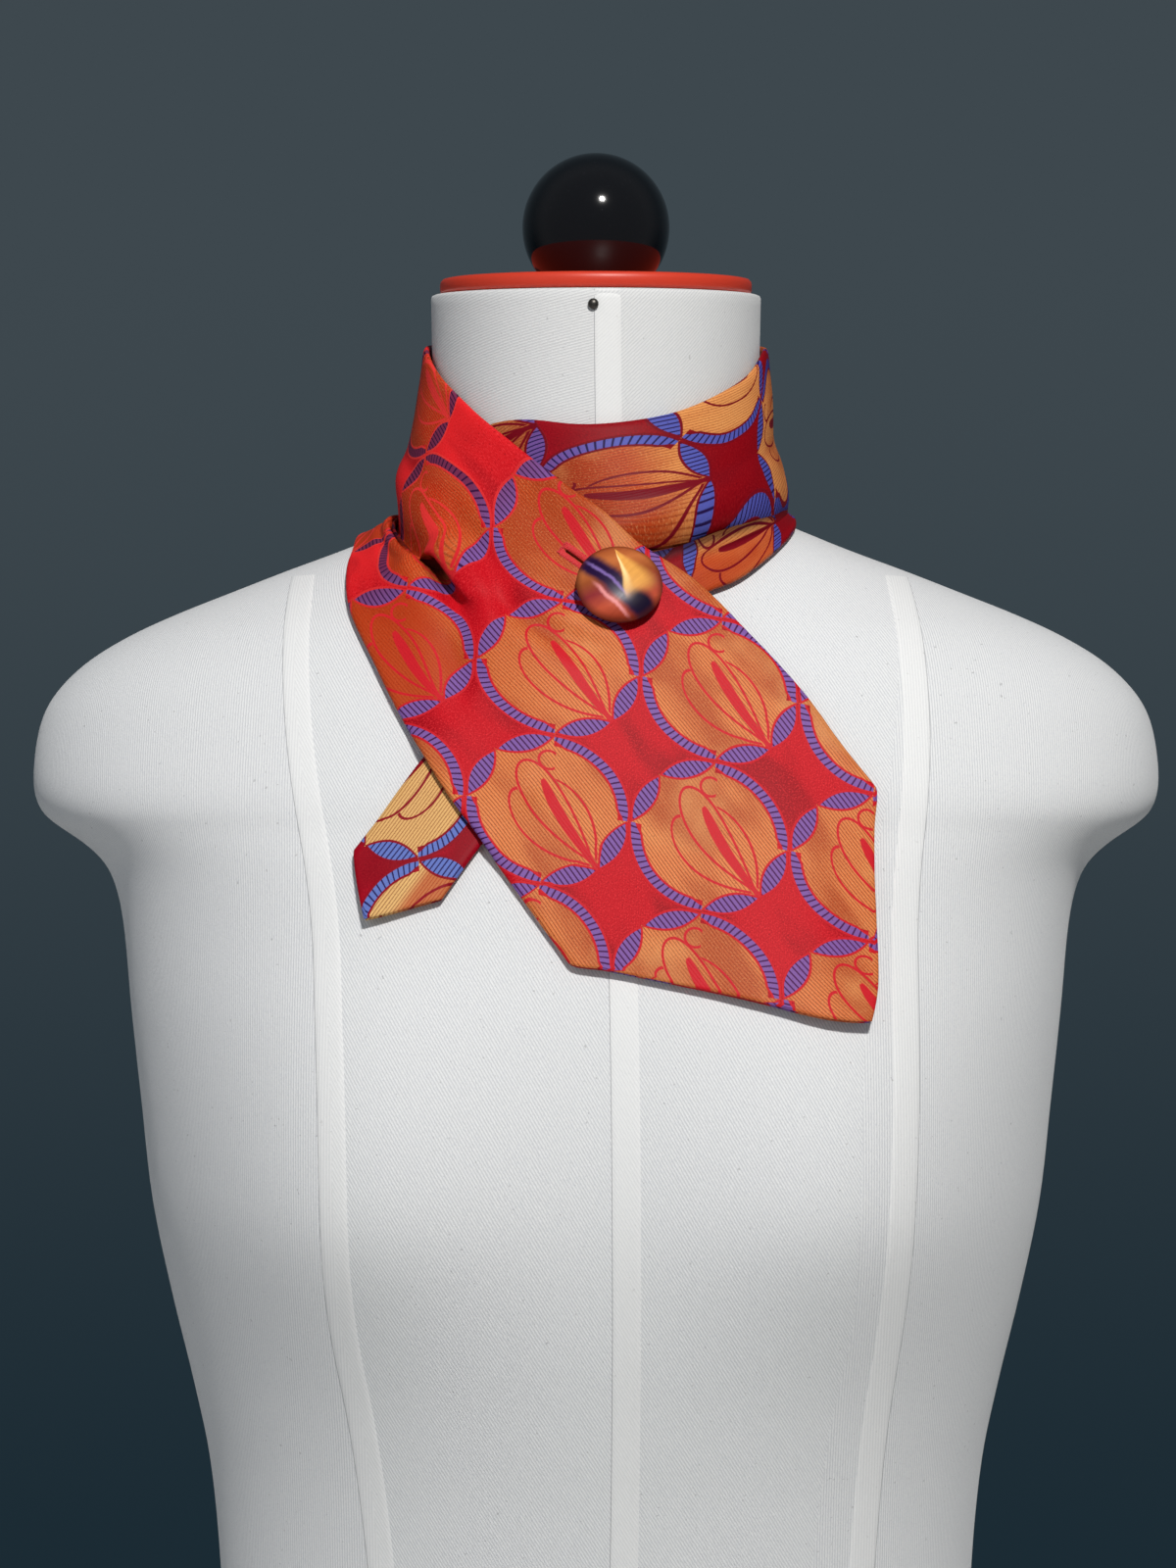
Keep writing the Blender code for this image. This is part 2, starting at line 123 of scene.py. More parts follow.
# Sections of the tie, from its low edge by its middle to its high edge. An angle is in degrees
# round the neck, a drop is the way down the form from the neck's top, and a lift is how far the
# middle of the cloth stands off. The two rolls swell the section's halves.
# along, low angle, drop, lift, middle angle, drop, lift, high angle, drop, lift, low roll, high roll
TIE = [
    (77, 15.7, 274.3, 2.2, 34.6, 252.8, 2.2, 56.9, 241.0, 2.2, 0, 0),
    (39, 6.4, 245.8, 2.2, 26.7, 221.1, 2.2, 47.7, 202.2, 2.2, 0, 0),
    (0, -3.8, 218.3, 2.2, 18.1, 189.7, 2.2, 41.4, 167.9, 2.4, 0, 0),
    (-26, -11.1, 200.1, 2.2, 11.6, 168.0, 2.6, 37.6, 143.4, 3.0, 0, 0),
    (-52, -18.9, 182.9, 2.4, 3.5, 148.9, 4.0, 32.1, 121.1, 4.0, 0, 0),
    (-77, -27.1, 165.8, 2.6, -6.2, 131.0, 6.0, 23.5, 99.9, 6.0, 0.5, 0),
    (-103, -35.8, 147.8, 2.6, -17.8, 114.2, 6.5, 8.7, 83.0, 7.0, 1, 0),
    (-126, -43.6, 133.3, 2.4, -30.0, 96.8, 7.0, -6.7, 65.3, 6.5, 1, 0),
    (-145, -53.4, 119.8, 2.2, -38.2, 89.5, 6.5, -22.5, 50.8, 6.0, 1, 0.5),
    (-165, -61.8, 108.1, 2.2, -44.5, 93.0, 3.0, -40.5, 38.4, 4.0, 1, 2),
    (-181, -71.2, 97.9, 2.0, -60.6, 85.0, 2.0, -58.4, 28.8, 2.4, 0.5, 2),
    (-206, -90.0, 92.0, 1.8, -89.0, 74.5, 1.7, -86.0, 17.5, 1.7, 0, 2),
    (-238, -118.0, 90.0, 1.8, -118.0, 73.0, 2.0, -116.0, 15.5, 1.7, 0.5, 2),
    (-270, -148.0, 84.0, 1.8, -148.0, 62.0, 2.4, -148.0, 15.0, 1.7, 0, 2),
    (-302, -180.0, 80.0, 1.8, -180.0, 52.0, 2.4, -180.0, 16.0, 1.7, 0, 1.5),
    (-334, -212.0, 79.0, 1.8, -212.0, 60.0, 2.4, -212.0, 15.0, 1.7, 0.5, 1.5),
    (-366, -242.0, 79.5, 2.0, -242.0, 68.0, 2.0, -244.0, 15.5, 1.7, 0.5, 1.5),
    (-394, -276.0, 79.0, 2.6, -270.0, 71.5, 1.7, -276.0, 17.5, 1.7, 0.5, 1),
    (-408, -300.0, 86.5, 2.0, -294.0, 74.0, 1.7, -287.0, 20.5, 1.7, 1, 2),
    (-420, -314.5, 93.5, 2.4, -310.3, 76.4, 1.7, -298.0, 25.8, 1.7, 1.5, 4),
    (-436, -325.4, 99.3, 2.4, -323.9, 78.0, 1.7, -317.4, 33.1, 1.7, 2, 5),
    (-454, -333.5, 102.0, 2.4, -335.2, 80.5, 1.7, -338.1, 39.8, 1.8, 2, 5),
    (-474, -339.4, 107.0, 1.8, -348.0, 82.3, 2.2, -362.5, 42.9, 2.0, 1, 3),
    (-494, -345.8, 112.3, 1.8, -359.7, 86.4, 2.6, -384.3, 41.3, 2.0, 0, 1),
    (-512, -351.4, 119.9, 1.8, -368.1, 94.9, 2.6, -399.9, 46.5, 1.8, 0, 0.5),
    (-530, -356.8, 129.5, 1.8, -371.8, 107.4, 2.4, -394.3, 71.0, 1.8, 0, 0),
    (-546, -361.7, 138.2, 1.8, -373.9, 120.0, 2.2, -385.3, 103.4, 1.8, 0, 0),
    (-564, -366.7, 147.6, 1.7, -374.7, 139.2, 1.7, -383.3, 131.3, 1.7, 0, 0),
    (-599, -376.4, 176.6, 1.7, -383.4, 169.5, 1.7, -390.4, 163.1, 1.7, 0, 0),
    (-635, -384.3, 205.9, 1.7, -390.5, 199.6, 1.7, -396.9, 194.0, 1.7, 0, 0),
    (-658, -388.9, 224.8, 1.7, -395.0, 218.9, 1.7, -401.1, 213.6, 1.7, 0, 0),
]
WIDE_START, LEFT_SEAM, RIGHT_SEAM, HIDDEN_SEAM, NARROW_START = -26, -206, -394, -564, -620
# The largest folds, as troughs with a soft ridge on both sides.
# along, share of the width, to along, to share, half width, depth
FOLDS = [
    (-158, 0.5, -252, 0.5, 6.0, 3.5),
    (-266, 0.42, -346, 0.45, 7.0, 1.6),
    (-356, 0.5, -488, 0.5, 5.0, 5.0),
]
# Smaller creases of the cloth, placed one by one.
CREASES = [
    (-112, 0.40, -206, 0.50, 5.5, 4.0),
    (-104, 0.52, -156, 0.60, 4.2, 1.7),
    (-72, 0.64, -114, 0.50, 4.0, 1.4),
    (-150, 0.30, -215, 0.36, 5.0, 1.2),
    (-106, 0.36, -168, 0.46, 4.5, 1.8),
    (-92, 0.24, -150, 0.36, 5.0, 1.5),
    (-78, 0.76, -122, 0.60, 4.4, 1.1),
    (-120, 0.62, -190, 0.66, 7.0, 0.9),
    (-96, 0.80, -170, 0.84, 6.0, 0.5),
    (-70, 0.25, -140, 0.32, 9.0, 0.8),
    (-40, 0.55, -96, 0.50, 12.0, 0.5),
    (-205, 0.72, -262, 0.66, 6.0, 0.9),
    (-232, 0.80, -300, 0.84, 5.0, 0.5),
    (-250, 0.25, -322, 0.20, 5.0, 0.8),
    (-296, 0.66, -352, 0.72, 6.0, 0.8),
    (-338, 0.28, -384, 0.33, 4.0, 0.6),
    (-372, 0.74, -446, 0.68, 7.0, 0.7),
    (-410, 0.86, -470, 0.80, 5.0, 0.4),
    (-415, 0.26, -462, 0.22, 3.5, 0.6),
]
# Tucks of the top layer, whose upper lip hangs over the crease.
# along, share of the width, to along, to share, reach of the lip, how far it stands out, how far
# the crease below it sinks
TUCKS = [
    (-116, 0.41, -262, 0.52, 5.4, 1.6, 2.4),
    (-350, 0.50, -500, 0.49, 7.0, 3.2, 4.8),
]
# The painted shade below each lip: the tie's width there, where the shade ends and where it is full.
PAINTED_LIP_SHADE = [(95, -8.5, -4.2), (63, -12.0, -7.8)]
# Where the two pointed ends are cut: share of the width, along
WIDE_TIP = [(0.0, 0.0), (0.571, 74.5), (1.0, 14.8)]
NARROW_TIP = [(0.0, -631.7), (0.5, -651.5), (1.0, -635.9)]

# Tapes over the seams of the form's cover: height, side
FRONT_TAPES = {
    "left": [(562, -94), (541, -93), (524, -92), (494, -88), (478, -84.5), (457, -80), (400, -76.5),
             (335, -75), (300, -69), (256, -64.5), (205, -62), (150, -68), (60, -84), (4, -88)],
    "right": [(562, 96), (541, 97), (524, 97.5), (494, 96.5), (478, 94), (457, 91), (400, 90), (335, 87),
              (300, 83), (256, 80.5), (205, 78), (150, 82), (60, 92), (4, 95)],
    "middle": [(652, 3.4), (625, 3.5), (600, 3.8), (570, 4.2), (540, 5), (500, 6.2), (460, 7.2), (400, 8.2),
               (330, 8.6), (270, 8.2), (205, 7), (150, 6), (60, 5), (4, 5)],
}
BACK_TAPES = {
    "back_left": [(560, -92), (524, -88), (480, -82), (400, -70), (300, -58), (215, -50), (150, -58),
                  (60, -80), (4, -84)],
    "back_right": [(560, 92), (524, 88), (480, 82), (400, 70), (300, 58), (215, 50), (150, 58), (60, 80),
                   (4, 84)],
    "back_middle": [(height, 0) for height in (651, 600, 540, 480, 400, 300, 215, 150, 60, 4)],
}


def column(table, v, k):
    """One column of a table, as a smooth curve through its rows."""
    t = np.array([row[k] for row in table], float)
    v = np.clip(v, 0, len(t) - 1 - 1e-9)
    i = np.floor(v).astype(int)
    f = v - i
    p0, p1 = t[np.maximum(i - 1, 0)], t[i]
    p2, p3 = t[i + 1], t[np.minimum(i + 2, len(t) - 1)]
    bend = 2 * p0 - 5 * p1 + 4 * p2 - p3 + f * (3 * (p1 - p2) + p3 - p0)
    return p1 + 0.5 * f * (p2 - p0 + f * bend)


def form_point(angle, v):
    """The dress form's skin at an angle round it and a row of its sections."""
    a = np.radians(angle)
    z, half, front, back, n = (column(FORM, v, k) for k in range(5))
    s, c = np.sin(a), np.cos(a)
    depth = np.where(c > 0, front, back)
    r = (np.abs(s / half) ** n + np.abs(c / depth) ** n) ** (-1 / n)
    x, y = r * s, -r * c
    up = z - BUST["height"]
    wide = (np.abs(x) - BUST["side"]) / BUST["wide"]
    tall = up / np.where(up > 0, BUST["above"], BUST["below"])
    y = y - BUST["reach"] * np.exp(-wide ** 2 - tall ** 2) * np.clip(c * 3, 0, 1)
    t = np.clip((z - 585) / (NECK_TOP - 585), 0, 1)
    z = z + NECK_TILT * y * t * t * (3 - 2 * t)
    return np.stack([x, y, z], -1)


WAY_DOWN = np.linspace(len(FORM) - 1, 6, 600)


def on_form(angle, drop):
    """A point of the skin at a way down it from the neck's top."""
    p = form_point(np.full_like(WAY_DOWN, angle), WAY_DOWN)
    d = np.concatenate([[0], np.cumsum(np.linalg.norm(np.diff(p, axis=0), axis=1))])
    return np.array([np.interp(drop, d, p[:, k]) for k in range(3)])


def off_form(angle, drop, lift):
    """A point that stands off the skin."""
    a = on_form(angle + 1, drop) - on_form(angle - 1, drop)
    b = on_form(angle, drop + 8) - on_form(angle, drop - 8)
    n = np.cross(b, a)
    return on_form(angle, drop) + lift * n / np.linalg.norm(n)


def mesh_tree(mesh):
    """A mesh in metres, to be probed in millimetres."""
    corners = [tuple(face.vertices) for face in mesh.polygons]
    return BVHTree.FromPolygons([v.co / MM for v in mesh.vertices], corners)


def node_tree(name):
    return mesh_tree(nodes[name].data)


form_tree = node_tree("form_body")
band_trees = [node_tree("under_band"), node_tree("narrow_end")]


def in_scene(name, data):
    thing = bpy.data.objects.new(name, data)
    bpy.context.scene.collection.objects.link(thing)
    return thing


def meshed(bm, name, scale=MM):
    """A bmesh in millimetres made an object in metres."""
    bmesh.ops.scale(bm, vec=(scale, scale, scale), verts=bm.verts)
    mesh = bpy.data.meshes.new(name)
    bm.to_mesh(mesh)
    bm.free()
    return in_scene(name, mesh)


def finished(bm, name, material):
    """A smooth piece that rides on the part."""
    for face in bm.faces:
        face.smooth = True
    piece = meshed(bm, name)
    piece.data.materials.append(material)
    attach(piece, "root")
    return piece


def close_round(bm):
    """Joins the two edges of a ring of cells and closes its ends."""
    bmesh.ops.remove_doubles(bm, verts=bm.verts, dist=0.01)
    bmesh.ops.holes_fill(bm, edges=[e for e in bm.edges if e.is_boundary], sides=0)
    face_out(bm)
    return bm


def laid_grid(points, uvs, second=None, second_name="place"):
    """A grid of cells moved onto an array of points, with its cloth coordinates."""
    rows, cols = points.shape[:2]
    bm = bmesh.new()
    bmesh.ops.create_grid(bm, x_segments=cols - 1, y_segments=rows - 1, size=1)
    layers = [(bm.loops.layers.uv.new("cloth"), uvs)]
    if second is not None:
        layers.append((bm.loops.layers.uv.new(second_name), second))
    spot = {v: (round((v.co.y + 1) / 2 * (rows - 1)), round((v.co.x + 1) / 2 * (cols - 1))) for v in bm.verts}
    for face in bm.faces:
        for loop in face.loops:
            for layer, values in layers:
                loop[layer].uv = values[spot[loop.vert]]
    for v in bm.verts:
        v.co = Vector(points[spot[v]])
    return bm


def face_out(bm):
    """Turns the faces of a closed shape outward."""
    bmesh.ops.recalc_face_normals(bm, faces=bm.faces)
    if bm.calc_volume(signed=True) < 0:
        bmesh.ops.reverse_faces(bm, faces=bm.faces)


# The tie's middle surface.
PROBES = [(0, 0), (4, 0), (-4, 0), (0, 4), (0, -4), (3, 3), (-3, 3), (3, -3), (-3, -3)]


def laid(point, trees, skin, gap, probes):
    """Moves a point out until it is a gap above the skin and everything on it."""
    spot, normal, _, _ = skin.find_nearest(Vector(point))
    best = (Vector(point) - spot).dot(normal)
    need = max(best, gap)
    if trees:
        side = normal.orthogonal().normalized()
        other = normal.cross(side)
        for a, b in probes:
            start = spot + normal * 60 + side * a + other * b
            for t in trees:
                hit, _, _, _ = t.ray_cast(start, -normal, 59.5)
                if hit is not None:
                    need = max(need, (hit - spot).dot(normal) + gap)
    return np.array(Vector(point) + normal * (need - best)) if need > best else np.asarray(point, float)


def section(along, w):
    """One point of the tie's middle, w its share of the width from the low edge."""
    v = np.interp(-along, [-row[0] for row in TIE], np.arange(len(TIE)))
    r = [float(column(TIE, v, k)) for k in range(1, 12)]
    low, middle, high = (off_form(*r[k:k + 3]) for k in (0, 3, 6))
    t = 2 * w if w < 0.5 else 2 * w - 1
    near, far, roll = (low, middle, r[9]) if w < 0.5 else (middle, high, r[10])
    p = near + (far - near) * t
    _, normal, _, _ = form_tree.find_nearest(Vector(p))
    swell = roll * math.sin(math.pi * (t if w < 0.5 else t ** 0.4))
    return p + np.array(normal) * swell


def fold_dip(along, share, table):
    """How far troughs sink the cloth at arrays of places along and across it."""
    total = np.zeros_like(along)
    for start, from_share, stop, to_share, half, depth in table:
        t = np.clip((along - start) / (stop - start), 0, 1)
        aside = share - from_share - t * (to_share - from_share)
        off = np.hypot(along - start - t * (stop - start), aside * WIDTH) / half
        dip = np.exp(-off ** 2) - 0.45 * np.exp(-(off - 1.9) ** 2)
        total += dip * depth * np.sin(math.pi * np.clip(t, 1e-6, 1 - 1e-6)) ** 0.4
    return total


BOUNDS = [TIE_START, WIDE_START, LEFT_SEAM, RIGHT_SEAM, HIDDEN_SEAM, NARROW_START, TIE_STOP]
STATIONS = np.concatenate([[TIE_START]] + [np.linspace(a, b, count)[1:] for a, b, count in
                                           zip(BOUNDS, BOUNDS[1:], (13, 25, 25, 25, 8, 6))])
SHARES = np.linspace(0, 1, 15)


def beneath(along):
    """What lies between the form and the tie there."""
    return band_trees if along > LEFT_SEAM else []


def settle(points):
    """The whole coarse surface laid clear of what is beneath it."""
    return np.array([[laid(p, beneath(a), form_tree, GAP, PROBES) for p in row]
                     for a, row in zip(STATIONS, points)])


coarse = np.array([[section(a, w) for w in SHARES] for a in STATIONS])
for turn in range(4):
    coarse = settle(coarse)
    if turn < 3:
        mean = (coarse[:-2, 1:-1] + coarse[2:, 1:-1] + coarse[1:-1, :-2] + coarse[1:-1, 2:]) / 4
        coarse[1:-1, 1:-1] = (coarse[1:-1, 1:-1] + mean) / 2
sink = fold_dip(*np.meshgrid(STATIONS, SHARES, indexing="ij"), FOLDS)
for i in range(len(STATIONS)):
    for j in range(len(SHARES)):
        normal = form_tree.find_nearest(Vector(coarse[i, j]))[1]
        coarse[i, j] -= np.array(normal) * sink[i, j]
coarse = settle(coarse)


def between(f):
    """The shares of four neighbours in a smooth curve through them."""
    return np.stack([((2 - f) * f - 1) * f / 2, ((3 * f - 5) * f * f + 2) / 2, ((4 - 3 * f) * f + 1) * f / 2,
                     (f - 1) * f * f / 2], -1)


def middle_surface(along, share):
    """Smooth points of the tie's middle at arrays of places."""
    r = np.interp(-along, -STATIONS, np.arange(len(STATIONS)))
    c = share * (len(SHARES) - 1)
    i = np.clip(np.floor(r).astype(int), 0, len(STATIONS) - 2)
    j = np.clip(np.floor(c).astype(int), 0, len(SHARES) - 2)
    wr, wc = between(r - i), between(c - j)
    total = np.zeros(along.shape + (3,))
    for m in range(4):
        for n in range(4):
            p = coarse[np.clip(i + m - 1, 0, len(STATIONS) - 1), np.clip(j + n - 1, 0, len(SHARES) - 1)]
            total += (wr[..., m] * wc[..., n])[..., None] * p
    return total


# The dress form's cover, closed all round.
AROUND_CELLS = 184
DOWN_STEP = 0.2


def cover_mesh():
    turns = np.linspace(-math.pi, math.pi, AROUND_CELLS + 1)
    angles = np.degrees(np.arctan2(1.5 * np.sin(turns), np.cos(turns)))
    angles[0], angles[-1] = -180.0, 180.0
    levels = np.arange(0, len(FORM) - 1 + 1e-6, DOWN_STEP)
    points = np.array([form_point(angles, np.full_like(angles, v)) for v in levels])
    for _ in range(LEDGE_TURNS):
        eased = points.copy()
        eased[1:-1] = 0.25 * points[:-2] + 0.5 * points[1:-1] + 0.25 * points[2:]
        near_ledge = np.clip(1.4 - np.abs(points[..., 2:] - LEDGE_UP) / LEDGE_REACH, 0, 1)
        points = points + (eased - points) * near_ledge
    rims = []
    for inset, down in ((0.0, 1.2), (0.35, 0.35), (1.2, 0.0)):
        ring_points = points[-1].copy()
        out = ring_points - np.array([0, 0, NECK_TOP])
        ring_points -= out / np.linalg.norm(out, axis=1, keepdims=True) * inset
        ring_points[:, 2] -= down
        rims.append(ring_points)
    points = np.concatenate([points[:-1], np.array(rims)])
    mid = AROUND_CELLS // 2
    stride = np.linalg.norm(np.diff(points, axis=1), axis=2)
    around = np.concatenate([np.zeros((len(points), 1)), np.cumsum(stride, axis=1)], 1)
    around -= around[:, mid:mid + 1]
    down = np.concatenate([[0], np.cumsum(np.linalg.norm(np.diff(points[:, mid], axis=0), axis=1))])
    flat = np.stack([around, np.repeat(down[:, None], AROUND_CELLS + 1, 1)], -1) * MM
    return close_round(laid_grid(points, flat))


cover_bm = cover_mesh()
cover_tree = BVHTree.FromBMesh(cover_bm)

# The fine grid of the tie: cells across, rows of the body and of the two tips, steps round the ends.
FRONT_CELLS = 80
BODY_ROWS = 300
TIP_ROWS = 54
NARROW_ROWS = 18
ROUND_STEPS = 4
TIP_SLANT = 0.72  # how much of a way along the tie is straight in from its slanting ends
turn_in = [math.pi / 2 * k / ROUND_STEPS for k in range(ROUND_STEPS)]

# Columns all round the flattened tube: share step, side angle (90 front, -90 back), edge.
ring = [(k / FRONT_CELLS, 90.0, 0) for k in range(FRONT_CELLS + 1)]
ring += [(1.0, 90 - 180 * k / 6, 1) for k in range(1, 6)]
ring += [(k / FRONT_CELLS, -90.0, 0) for k in range(FRONT_CELLS, -1, -1)]
ring += [(0.0, -90 + 180 * k / 6, -1) for k in range(1, 7)]
ring[-1] = (0.0, 90.0, 0)
steps = np.array([c[0] for c in ring])[None]
side = np.radians([c[1] for c in ring])[None]
edge = np.array([c[2] for c in ring])[None]

# Widths and lengths of the cloth as it lies, for its coordinates.
LINE_CELLS = TIE_START - TIE_STOP
WIDTH_CELLS = 56
line = np.linspace(TIE_START, TIE_STOP, LINE_CELLS + 1)
across = middle_surface(*np.meshgrid(line, np.linspace(0, 1, WIDTH_CELLS + 1), indexing="ij"))
gaps_across = np.linalg.norm(np.diff(across, axis=1), axis=2)
reach = np.concatenate([np.zeros((LINE_CELLS + 1, 1)), np.cumsum(gaps_across, axis=1)], 1)
width_at = reach[:, -1]
gaps_along = np.linalg.norm(np.diff(across[:, WIDTH_CELLS // 2], axis=0), axis=1)
length_at = np.concatenate([[0], np.cumsum(gaps_along)])
length_at = length_at[TIE_START] - length_at


def ring_share(width):
    """Where each column lies across a tie of this width, from 0 to 1, with its side folds round."""
    fold = FOLD_ROUND / width
    round_in = fold * (1 - np.cos(side))
    return np.where(edge == 0, fold + (1 - 2 * fold) * steps, np.where(edge > 0, 1 - round_in, round_in))


def tie_rows():
    """Rows from the wide point to the narrow one: along at each column, and how full the tube is."""
    rows = []
    for tip, start, count, sign in ((WIDE_TIP, WIDE_START, TIP_ROWS, 1),
                                    (NARROW_TIP, NARROW_START, NARROW_ROWS, -1)):
        part = []
        lies = ring_share(np.interp(-start, -line, width_at))[0]
        end = np.interp(lies, [t[0] for t in tip], [t[1] for t in tip])
        for a in turn_in:
            inset = FOLD_ROUND * (1 - math.sin(a)) / TIP_SLANT
            part.append((end - sign * inset, math.sin(a)))
        low = end - sign * FOLD_ROUND / TIP_SLANT
        for k in range(count, 0, -1):
            part.append((start + (low - start) * k / count, 1.0))
        rows.append(part)
    body = [(np.full(len(ring), a), 1.0) for a in np.linspace(WIDE_START, NARROW_START, BODY_ROWS + 1)]
    return rows[0] + body + rows[1][::-1]


rows = tie_rows()
along = np.array([r[0] for r in rows])
full = np.array([[r[1]] for r in rows])


def across_at(along, share):
    """How far a place lies from the tie's middle line, across the cloth."""
    i = np.clip(TIE_START - along, 0, LINE_CELLS)
    lo = np.floor(i).astype(int)
    hi = np.minimum(lo + 1, LINE_CELLS)
    j = np.clip(share * WIDTH_CELLS, 0, WIDTH_CELLS)
    jl = np.floor(j).astype(int)
    jh = np.minimum(jl + 1, WIDTH_CELLS)
    f, g = i - lo, j - jl
    centred = reach - width_at[:, None] / 2
    return ((centred[lo, jl] * (1 - g) + centred[lo, jh] * g) * (1 - f)
            + (centred[hi, jl] * (1 - g) + centred[hi, jh] * g) * f)


local_width = np.interp(-along, -line, width_at)
edge_angle = np.where(edge == 0, math.pi / 2, side)
share = ring_share(local_width)
height = np.sin(edge_angle) * np.where((edge == 0) & (side < 0), -1, 1) * full * CLOTH_THICKNESS / 2

grid = middle_surface(along, share)


def way_across(along, share, step):
    """The way across the cloth, from the low edge to the high one."""
    return (middle_surface(along, np.clip(share + step, 0, 1))
            - middle_surface(along, np.clip(share - step, 0, 1)))


ALONG_STEP, SHARE_STEP = 0.6, 0.006
way_along = middle_surface(along - ALONG_STEP, share) - middle_surface(along + ALONG_STEP, share)
normals = np.cross(way_along, way_across(along, share, SHARE_STEP))
normals /= np.linalg.norm(normals, axis=-1, keepdims=True)
front = np.array([form_tree.find_nearest(Vector(p))[1] for p in grid[len(grid) // 3]])
if np.sum(front * normals[len(grid) // 3]) < 0:
    normals = -normals
grid = grid - normals * fold_dip(along, share, CREASES)[..., None]
end_lift = 3.2 * np.clip((along + 10) / 84, 0, 1) ** 1.5 + 1.6 * np.clip((-600 - along) / 50, 0, 1) ** 1.5
grid = grid + normals * end_lift[..., None]


def tuck(along, share, surface, outward):
    """The top layer drawn down into a crease, with the lip above it hanging over."""
    toward = way_across(along, share, 0.01)
    toward /= np.maximum(np.linalg.norm(toward, axis=-1, keepdims=True), 1e-9)
    for start, from_share, stop, to_share, reach_of, stand, sink in TUCKS:
        t = np.clip((along - start) / (stop - start), 0, 1)
        strength = np.sin(math.pi * np.clip(t, 1e-6, 1 - 1e-6) ** 0.7) ** 0.5 * ((t > 0) & (t < 1))
        x = (share - from_share - t * (to_share - from_share)) * local_width + np.zeros_like(share)
        x = x + 0.7 * np.sin(along / 11.0)
        hang = strength * reach_of * np.exp(-((x - 3.6) / 2.2) ** 2)
        stands = strength * (stand * np.exp(-((x - 4.2) / 3.2) ** 2) - sink * np.exp(-((x + 2.6) / 2.6) ** 4))
        surface = surface - toward * hang[..., None] + outward * stands[..., None]
    return surface


def rest_fine(grid, chosen, trees):
    """Rows of the fine grid kept clear of what is beneath, and smoothed."""
    for turn in range(3):
        for i in chosen:
            for j in range(grid.shape[1]):
                grid[i, j] = laid(grid[i, j], trees, cover_tree, GAP - 0.1, [(0, 0)])
        if turn < 2:
            inner = [i for i in chosen if 0 < i < len(grid) - 1]
            mean = (grid[[i - 1 for i in inner]] + grid[[i + 1 for i in inner]]) / 2
            grid[inner] = (grid[inner] + mean) / 2
    return grid


def wrapped(grid):
    """The middle surface grown to the two layers and their folded edges."""
    tube = grid + normals * height[..., None]
    on_top = np.where((edge == 0) & (side > 0), 1.0, 0.0)[..., None]
    return tube + (tuck(along, share, tube, normals) - tube) * on_top


first_under = int(np.argmax(along[:, 0] < LEFT_SEAM))
grid = rest_fine(grid, list(range(first_under, len(grid))), [])
under_bm = laid_grid(wrapped(grid)[first_under:], np.zeros((len(grid) - first_under, grid.shape[1], 2)))
grid = rest_fine(grid, list(range(first_under)), [BVHTree.FromBMesh(under_bm)])
under_bm.free()
tube = wrapped(grid)
flat_across = across_at(along, share)
flat_along = np.interp(-along, -line, length_at)
flat_across = np.where(side < -0.1, local_width - flat_across, flat_across)
uv = np.stack([flat_across * MM, flat_along * MM], -1)
place = np.stack([share, (along - PLACE_START) / PLACE_LENGTH], -1)


class Sum:
    """A number inside a material, on which Python's sums add Math nodes."""

    def __init__(self, paint, socket):
        self.paint, self.socket = paint, socket

    def __add__(self, other):
        return self.paint.math("ADD", self, other)

    def __sub__(self, other):
        return self.paint.math("SUBTRACT", self, other)

    def __rsub__(self, other):
        return self.paint.math("SUBTRACT", other, self)

    def __neg__(self):
        return self.paint.math("MULTIPLY", self, -1)

    def __mul__(self, other):
        return self.paint.math("MULTIPLY", self, other)

    def __truediv__(self, other):
        return self.paint.math("DIVIDE", self, other)

    def __gt__(self, other):
        return self.paint.math("GREATER_THAN", self, other)

    def __lt__(self, other):
        return self.paint.math("LESS_THAN", self, other)

    def __abs__(self):
        return self.paint.math("ABSOLUTE", self)

    __radd__ = __add__
    __rmul__ = __mul__


def dye(red, green, blue):
    """A screen colour from 0 to 255 as the renderer's."""
    return tuple((c / 255 / 12.92 if c / 255 <= 0.04045 else ((c / 255 + 0.055) / 1.055) ** 2.4)
                 for c in (red, green, blue)) + (1.0,)


